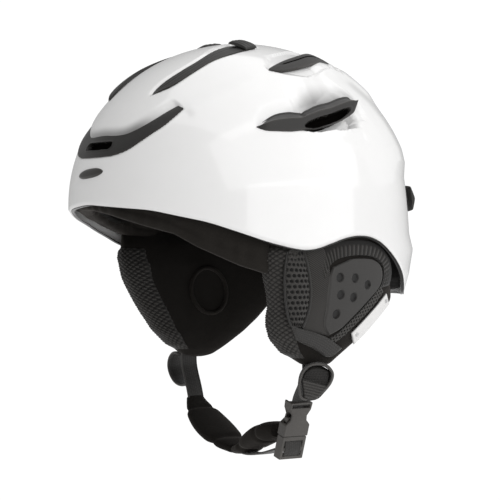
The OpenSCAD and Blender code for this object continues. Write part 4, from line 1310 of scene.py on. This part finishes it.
# flat sewn band that carries the strap round the pad's lower end
def makeBand(side, sign):
    first = [(-26, -87.5), (-18, -90), (-8, -92.5), (4, -96), (15, -101), (24, -105.5)]
    second = [(-20, -98), (-13, -101), (-4, -104.5), (4, -108.5), (11, -111.5), (17, -111)]
    u, v, y, z, uv = patchGrid(first, second, 100, 40)
    fall = edgeFall(u, v, 0.05)
    stitch = bell(v - 0.1, 0.02) + bell(v - 0.9, 0.02)
    dash = ease(np.sin(2 * np.pi * uv[..., 0] / 2.6) * 3)
    height = 0.5 + strapBand["rise"] * (0.3 + 0.7 * fall) - 0.25 * stitch + 0.3 * stitch * dash
    piece = slabPiece("strapBand." + side, onPad(y, z, height), onPad(y, z, 0 * height - 1.0), wovenWebbing,
                      uv=uv - (0, 6),
                      values={"border": np.clip(0.25 * (1 - fall) + 0.2 * stitch * dash, 0, 1)},
                      mirror=sign, sharp=60)
    place(piece, side + "_pad", "webbing", "strap_sleeve_" + side)


earPlate = {"thick": 1.0, "lift": 1.0}


def makePlate(side, sign):
    first, second = [(66.5, -66), (30.5, -94.5)], [(72.5, -74), (36, -103)]
    u, v, y, z, uv = patchGrid(first, second, 80, 22)
    fall = edgeFall(u, v, 0.03)
    height = earPlate["lift"] + earPlate["thick"] * (0.5 + 0.5 * fall)
    piece = slabPiece("earPlate." + side, onPad(y, z, height), onPad(y, z, 0 * height + 0.3), satinPlate,
                      values={"border": (1 - fall) * 0.4}, mirror=sign)
    place(piece, side + "_pad", "plate_white", "ear_plate_" + side)
    # two domed rivets with a dimple
    rivets = []
    a = 2 * np.pi * np.arange(20) / 20
    for cy, cz in ((66.5, -71.8), (36, -95.8)):
        r = np.array([0.01, 0.5, 0.7, 1.1, 1.4, 1.5, 1.5])[:, None]
        h = np.array([0.35, 0.35, 0.6, 0.65, 0.5, 0.2, -1.2])[:, None]
        yy, zz = cy + r * np.cos(a), cz + r * np.sin(a)
        rivets.append(onPad(yy, zz, earPlate["lift"] + earPlate["thick"] + h))
    for k, rings in enumerate(rivets):
        piece = ringPiece("rivet%d.%s" % (k + 1, side), rings, brushedSteel, mirror=sign)
        place(piece, side + "_pad", "steel", *(("plate_rivets_" + side,) if k == 0 else ()))


# thickness of the cushion at y, z, for what lies on its inner face
def padDepth(y, z):
    f, r = lookup(padFront, z), lookup(padRear, z)
    c = np.clip(np.abs(2 * y - f - r) / (r - f), 0, 1)
    return 26 * lookup(padShare, z) * (0.5 + 0.5 * np.sqrt(1 - c ** (2 / 0.75)) ** 0.75)


earRing = {"y": 18, "z": -66, "ry": 16, "rz": 18, "pipe": 1.5}


def makeEarRing(side, sign):
    f = earRing
    a = np.radians(np.arange(0, 360, 5))
    y, z = f["y"] + f["ry"] * np.cos(a), f["z"] + f["rz"] * np.sin(a)
    path = onPad(y, z, -padDepth(y, z) - 0.9)
    ring = pipePiece("earRing." + side, path, f["pipe"], liningVelour, closed=True, mirror=sign,
                     values={"border": np.zeros(len(path) * 10), "deep": np.zeros(len(path) * 10)})
    place(ring, side + "_pad", "black_plastic", "ear_ring_" + side)
    # sound mesh inside the ring: fine square net with dents, coloured near-black in the dents as painted
    # shade
    r = np.linspace(0.02, 1, 40)[:, None]
    a = np.radians(np.arange(0, 360, 4))[None]
    y, z = f["y"] + f["ry"] * r * np.cos(a), f["z"] + f["rz"] * r * np.sin(a)
    dent = ease((np.cos(2 * np.pi * y / 2.4) * np.cos(2 * np.pi * z / 2.4) - 0.1) / 0.5)
    depth = padDepth(y, z) - 0.8 - 0.8 * dent + 0.6 * r ** 4
    uv = np.stack([y, z], -1)
    net = ringPiece("earNet." + side, np.concatenate([onPad(y, z, -depth), onPad(y, z, -depth + 2.5)[::-1]]),
                    innerMesh,
                    uv=np.concatenate([uv, uv[::-1]]),
                    values={"hole": np.concatenate([dent, dent[::-1]])}, mirror=sign, sharp=60)
    place(net, side + "_pad", "mesh")


# piping along the seams of the pad
def makePiping(side, sign):
    u = np.linspace(0, 1, 90)
    lines = {
        "gusset": ([(-21, -31), (-17.6, -45), (-15.8, -52), (-13.8, -62), (-13.3, -72), (-14.6, -82),
                    (-17, -90)], 1.3),
        "front": ([(-33.5, -33), (-35.5, -44), (-36, -52), (-35, -62), (-33, -72), (-30, -81), (-26, -88)],
                  0.9)}
    for key, (points, r) in lines.items():
        yz = spline(points, u)
        path = onPad(yz[:, 0], yz[:, 1], 1.1 * ease((-36 - yz[:, 1]) / 14) - 0.9)
        pipe = pipePiece("piping%s.%s" % (key.capitalize(), side), path,
                         r * ease(np.minimum(u, 1 - u) / 0.04 + 0.1),
                         wovenWebbing, mirror=sign, values={"border": np.full(len(path) * 10, 0.05)})
        place(pipe, side + "_pad", "webbing")


for sideName, sideSign in sides:
    makeCushion(sideName, sideSign)
    makeCover(sideName, sideSign)
    makeGusset(sideName, sideSign)
    makeFrontRoll(sideName, sideSign)
    makeRibStrip(sideName, sideSign)
    makeRibFan(sideName, sideSign)
    makeRearMesh(sideName, sideSign)
    makeBand(sideName, sideSign)
    makePlate(sideName, sideSign)
    makeEarRing(sideName, sideSign)
    makePiping(sideName, sideSign)
print("ear pads made")


# flat webbing: a rounded flat section carried along a path of (p, z); p runs along the level
# direction turned by angle from +X, and the width lies square to it, shifted sideways by shift
def webPiece(name, path, width, thick, angle=0.0, shift=strapY, samples=90, mirror=1, border=1.0):
    line = spline(path, np.linspace(0, 1, samples))
    ahead = np.gradient(line, axis=0)
    ahead /= np.linalg.norm(ahead, axis=1, keepdims=True)
    nx, nz = -ahead[:, 1], ahead[:, 0]
    length = np.concatenate([[0], np.cumsum(np.linalg.norm(np.diff(line, axis=0), axis=1))])
    k = 40
    a = 2 * np.pi * np.arange(k) / k
    across = width / 2 * signedPower(np.cos(a), 0.3)
    out = thick / 2 * signedPower(np.sin(a), 0.6) * (1 + 0.22 * bell(np.abs(across) - width / 2 + 1, 0.6))
    cord = 0.1 * np.cos(across * 2 * np.pi / 2.2)
    lift = out + np.sign(out) * cord
    p = line[:, :1] + nx[:, None] * lift
    z = line[:, 1:] + nz[:, None] * lift
    q = shift + across[None] + 0 * p
    c, s = math.cos(math.radians(angle)), math.sin(math.radians(angle))
    x, y = p * c - q * s, p * s + q * c
    selvedge = ease((np.abs(across) - (width / 2 - 1.0)) / 0.6)[None] + 0 * x
    uv = np.stack(np.broadcast_arrays(length[:, None], across[None]), -1)
    return ringPiece(name, np.stack([x, y, z], -1), wovenWebbing, uv=uv,
                     values={"border": selvedge * 0.6 * border},
                     mirror=mirror, sharp=60)


strapLeft = [(79, -111), (79, -117), (78.8, -122), (76.5, -128), (73.2, -133), (69.6, -138.5), (67.6, -142.3),
             (65.6, -148.2)]
strapRight = [(79, -111), (79, -118), (78.4, -125), (76, -132), (73, -139), (70.4, -146), (68, -154)]
# tails folded back in loops that face outwards, seen here along their width
tailLeft = [(46, -141.5), (42, -140), (40.6, -133), (42, -124), (46.5, -118), (53, -116), (60, -117.5),
            (64.3, -122.5),
            (63, -129), (58, -135.5), (52, -140.5)]
tailRight = [(83, -117), (87, -115.5), (93, -116.5), (97.5, -121), (98.5, -127), (96, -133), (91, -138),
             (85, -140.5), (79, -141), (73, -140)]
place(webPiece("strapWeb.left", strapLeft, 15, 1.6), "left_strap", "webbing", "strap_left")
place(webPiece("strapWeb.right", strapRight, 15, 1.6, mirror=-1), "right_strap", "webbing", "strap_right")
place(webPiece("strapTail.left", tailLeft, 12, 1.9, 54, -72, 130, border=1.6), "left_strap", "webbing",
      "strap_tail_left")
place(webPiece("strapTail.right", tailRight, 15, 1.8, samples=110, mirror=-1), "right_strap", "webbing",
      "strap_tail_right")
# sewn end of the near tail: a flat tongue with rows of stitches across it
tongueTop = [(42, -127), (46, -119), (54, -116.8), (63.3, -121.3)]
tongueLow = [(43.5, -141.5), (49, -142.4), (55.5, -139.8), (63.2, -130)]


def makeTongue():
    u = np.linspace(0, 1, 60)[:, None]
    v = np.linspace(0, 1, 50)[None]
    a, b = spline(tongueTop, u[:, 0])[:, None], spline(tongueLow, u[:, 0])[:, None]
    p = a + (b - a) * v[..., None]
    fall = edgeFall(u, v, 0.12)
    sewn = ease((-113 - 0.3 * p[..., 0] - p[..., 1]) / 1.5)
    rows = (0.5 + 0.5 * np.cos(2 * np.pi * (p[..., 1] + 0.25 * p[..., 0]) / 2.1)) * sewn
    q = 72 + 5 * sewn + 1.6 * fall + 0.5 * rows * fall + 0.06 * (p[..., 0] - 52)
    c, s = math.cos(math.radians(54)), math.sin(math.radians(54))
    point = lambda d: np.stack([p[..., 0] * c + d * s, p[..., 0] * s - d * c, p[..., 1]], -1)
    piece = slabPiece("strapTongue.left", point(q), point(0 * q + 69), wovenWebbing, uv=p,
                      values={"border": 0.7 * rows * fall}, sharp=60)
    place(piece, "left_strap", "webbing")


makeTongue()


# padded tube along stations of (x, z, width, thickness), with soft creases where it is gathered
def paddedTube(name, stations, creases, material, nu=60, nv=40):
    u = np.linspace(0, 1, nu)
    p = spline(stations, u)
    ahead = np.gradient(p[:, :2], axis=0)
    ahead /= np.linalg.norm(ahead, axis=1, keepdims=True)
    a = -2 * np.pi * np.arange(nv) / nv
    wide = p[:, 2:3] / 2 * signedPower(np.cos(a), 0.8)
    thick = p[:, 3:4] / 2 * signedPower(np.sin(a), 0.8)
    for at, depth in creases:
        pinch = 1 - depth * bell(u - at, 0.035)[:, None]
        thick = thick * pinch
        wide = wide * (1 - 0.4 * depth * bell(u - at, 0.035)[:, None])
    x = p[:, :1] - ahead[:, 1:] * thick
    z = p[:, 1:2] + ahead[:, :1] * thick
    rings = np.stack([x, strapY + wide, z], -1)
    uv = np.stack(np.broadcast_arrays((u * 90)[:, None], (a * 8)[None]), -1)
    return ringPiece(name, rings, material, uv=uv, sharp=70)


def softTube(name, node, stations, creases, material, cap, fill):
    piece = paddedTube(name, stations, creases, material)
    count = len(piece.data.vertices)
    held = np.zeros(count, bool)
    held[:80] = held[count - 82:] = True
    for at, depth in creases:
        k = int(round(at * 59)) * 40
        held[k:k + 40] = True
    swell(piece, held, cap, 5)
    smooth = piece.modifiers.new("Subdivision", "SUBSURF")
    smooth.levels = smooth.render_levels = 1
    place(piece, "right_strap", "velour", node, padded=fill)


softTube("chinPad", "chin_pad", [(-70.4, -150, 15, 5), (-66, -156, 21, 7), (-57, -163.5, 31, 9),
                                 (-42, -173, 36, 10),
         (-26, -181, 32, 9), (-10, -186, 21, 7)], [(0.3, 0.25), (0.8, 0.3)], brushedVelour, 2.5, 0.6)
softTube("chinTab", "chin_tab", [(-8, -186.2, 19, 7), (2, -184, 25, 9), (14, -177, 30, 13),
                                 (26, -171.5, 31, 15),
         (36, -168.6, 28, 14), (44, -167.8, 20, 10)], [(0.28, 0.3), (0.66, 0.18)], liningVelour, 2.5, 0.5)
place(webPiece("webTail", [(-4, -186.8), (6, -188.2), (18, -187.4), (31, -185), (44, -181.5)], 14, 1.6,
               samples=60), "right_strap",
      "webbing", "web_tail_low")
print("straps made")


# a CAD node copied, merged and given rounded edges
def softenCad(name, node, body, slot, material, width, segments=2):
    source = frame["nodes"][node]
    mesh = source.data.copy()
    mesh.name = name
    work = bmesh.new()
    work.from_mesh(mesh)
    bmesh.ops.remove_doubles(work, verts=work.verts, dist=0.02 * mm)
    bmesh.ops.dissolve_limit(work, angle_limit=math.radians(4), verts=work.verts, edges=work.edges)
    bmesh.ops.recalc_face_normals(work, faces=work.faces)
    work.to_mesh(mesh)
    work.free()
    mesh.materials.clear()
    mesh.materials.append(material)
    mesh.shade_smooth()
    mesh.set_sharp_from_angle(angle=math.radians(32))
    for key in ("border", "deep"):
        mesh.attributes.new(key, "FLOAT", "POINT")
    piece = bpy.data.objects.new(name, mesh)
    bpy.context.scene.collection.objects.link(piece)
    edge = piece.modifiers.new("Bevel", "BEVEL")
    edge.width = width * mm
    edge.segments = segments
    edge.limit_method = "ANGLE"
    edge.angle_limit = math.radians(40)
    edge.harden_normals = False
    return place(piece, body, slot, node)


clipLever = {"half": 25, "middle": 7, "tall": 10.5, "gap": 6.2, "skin": 0.3, "bulge": 3.6}


# goggle clip's lever: a long lozenge standing off the shell, thickest along its middle, with its hinge barrel
def makeClipLever():
    f = clipLever
    u = np.linspace(-1, 1, 110)[:, None]
    v = np.linspace(-1, 1, 41)[None]
    neck = 6.5 * bell(u, 0.16) * ease(v)
    z = f["middle"] + f["tall"] * v * (1 - 0.15 * u ** 4) + neck
    t = 180 + f["half"] * u + 0 * v
    out = f["gap"] + f["skin"] + f["bulge"] * (1 - np.abs(v) ** 1.3) * (1 - 0.35 * u ** 6)
    p = atHeight(t, z, 0)
    away = p * (1, 1, 0)
    away = away / np.linalg.norm(away, axis=-1, keepdims=True)
    top, low = p + away * (out + 0 * z)[..., None], p + away * (f["gap"] + 0 * z)[..., None]
    rib = bell(np.abs(v) - 0.9, 0.05) + 0 * u
    piece = slabPiece("clipLever", top, low, mouldedBlack, values={"border": 0.5 * rib, "deep": 0 * rib})
    place(piece, "goggle_clip", "black_plastic", "clip_lever")
    barrel = pipePiece("clipBarrel", [(x, 140.6, 21.5) for x in np.linspace(-8, 8, 12)], 2.7, mouldedBlack,
                       values={"border": np.zeros(120), "deep": np.zeros(120)})
    place(barrel, "goggle_clip", "black_plastic")


makeClipLever()
hardParts = (
    ("buckleHousing", "buckle_housing", "black_plastic", buckleBlack, 0.6),
    ("buckleFrame", "buckle_frame", "black_plastic", buckleBlack, 0.7),
    ("prongFront", "buckle_prong_front", "black_plastic", buckleBlack, 0.4),
    ("prongRear", "buckle_prong_rear", "black_plastic", buckleBlack, 0.4),
    ("dialHousing", "dial_housing", "black_plastic", mouldedBlack, 0.5),
    ("fitDial", "fit_dial", "black_plastic", buckleBlack, 0.4),
    ("clipBase", "clip_base", "black_plastic", mouldedBlack, 0.5),
    ("clipPin", "clip_pin", "steel", brushedSteel, 0.2),
    ("fitCradle", "fit_cradle", "black_plastic", mouldedBlack, 0.4),
    ("earTab.left", "ear_tab_left", "black_plastic", mouldedBlack, 0.4),
    ("earTab.right", "ear_tab_right", "black_plastic", mouldedBlack, 0.4))


frameWeb = {"down": 6.8, "half": 6.6, "face": 4.3, "arch": 0.05, "wide": 15.2, "thick": 2.0}


# the web folded over the buckle frame's middle bar: an arch that dips into both openings
def makeFrameWeb():
    f = frameWeb
    low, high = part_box("buckle_frame")
    lean = math.radians(18)
    cx = (low.x + high.x) / 2 / mm - f["down"] * math.sin(lean)
    cz = (low.z + high.z) / 2 / mm - f["down"] * math.cos(lean)
    k = np.linspace(-f["half"], f["half"], 7)
    out = f["face"] - f["arch"] * k ** 2
    path = np.stack([cx + k * math.sin(lean) + out * math.cos(lean),
                     cz + k * math.cos(lean) - out * math.sin(lean)], -1)
    place(webPiece("frameWeb", path, f["wide"], f["thick"], samples=50, border=0.3), "left_strap", "webbing")


makeFrameWeb()
bodyOf = {}
for bodyName, members in frame["record"]["behaviour"]["bodies"].items():
    for member in members:
        bodyOf[member] = bodyName
for pieceName, nodeName, slotName, material, width in hardParts:
    softenCad(pieceName, nodeName, bodyOf[nodeName], slotName, material, width)
print("hard parts made")

studio = {"floorDrop": 0.16, "sky": 0.44, "background": 1.05, "floorGlow": 0.25}


# pale floor under the object and a pale studio round it
def makeStudio():
    f = studio
    floorZ = cadLow.z - f["floorDrop"]
    mesh = bpy.data.meshes.new("floor")
    mesh.from_pydata([(-6, -6, floorZ), (6, -6, floorZ), (6, 6, floorZ), (-6, 6, floorZ)], [], [(0, 1, 2, 3)])
    floor = bpy.data.objects.new("floor", mesh)
    bpy.context.scene.collection.objects.link(floor)
    material = bpy.data.materials.new("paleFloor")
    material.use_nodes = True
    tree = material.node_tree
    shader = tree.nodes["Principled BSDF"]
    shader.inputs["Base Color"].default_value = grey(0.85)
    shader.inputs["Roughness"].default_value = 0.8
    shader.inputs["Emission Color"].default_value = (1, 1, 1, 1)
    shader.inputs["Emission Strength"].default_value = f["floorGlow"]
    glow = addNode(tree, "Emission", {"Color": (1, 1, 1, 1), "Strength": f["background"]})
    seen = addNode(tree, "LightPath").outputs["Is Camera Ray"]
    mixed = addNode(tree, "MixShader", {0: seen, 1: shader.outputs[0], 2: glow.outputs[0]})
    tree.links.new(mixed.outputs[0], tree.nodes["Material Output"].inputs[0])
    mesh.materials.append(material)
    world = bpy.data.worlds.new("studio")
    world.use_nodes = True
    bpy.context.scene.world = world
    tree = world.node_tree
    sky = tree.nodes["Background"]
    sky.inputs["Color"].default_value = (1, 1, 1, 1)
    sky.inputs["Strength"].default_value = f["sky"]
    behind = addNode(tree, "Background", {"Color": (1, 1, 1, 1), "Strength": f["background"]})
    seen = addNode(tree, "LightPath").outputs["Is Camera Ray"]
    mixed = addNode(tree, "MixShader", {0: seen, 1: sky.outputs[0], 2: behind.outputs[0]})
    tree.links.new(mixed.outputs[0], tree.nodes["World Output"].inputs[0])


softboxes = (
    ("overhead", (0.2, 0.1, 1.3), 1.9, 1.6, 8.5),
    ("sideWall", (2.3, 0.7, 1.5), 4.4, 2.2, 30.0),
    ("rearWall", (0.0, 2.4, 1.3), 2.6, 2.0, 4.5),
    ("lowCard", (1.9, 0.7, 0.08), 2.2, 0.8, 6.0))


def makeLights():
    aim = Vector((0, 0, 0.02))
    for name, at, wide, tall, power in softboxes:
        lamp = bpy.data.lights.new(name, "AREA")
        lamp.shape = "RECTANGLE"
        lamp.size, lamp.size_y = wide, tall
        lamp.energy = power
        holder = bpy.data.objects.new(name, lamp)
        holder.location = at
        holder.rotation_euler = (aim - Vector(at)).to_track_quat("-Z", "Y").to_euler()
        bpy.context.scene.collection.objects.link(holder)


cameraPlace = {"azimuth": 54.0, "distance": 1.45, "lens": 136.9, "aim": (0.0028, 0.0039, -0.0336)}


def makeCamera():
    f = cameraPlace
    a = math.radians(f["azimuth"])
    back = Vector((math.sin(a), -math.cos(a), 0))
    lens = bpy.data.cameras.new("camera")
    lens.lens = f["lens"]
    lens.sensor_width = 36
    lens.clip_end = 20
    holder = bpy.data.objects.new("camera", lens)
    holder.location = Vector(f["aim"]) + back * f["distance"]
    holder.rotation_euler = (math.radians(90), 0, a)
    bpy.context.scene.collection.objects.link(holder)
    bpy.context.scene.camera = holder


makeStudio()
makeLights()
makeCamera()
bpy.context.scene.view_settings.view_transform = "Standard"
print("studio made")
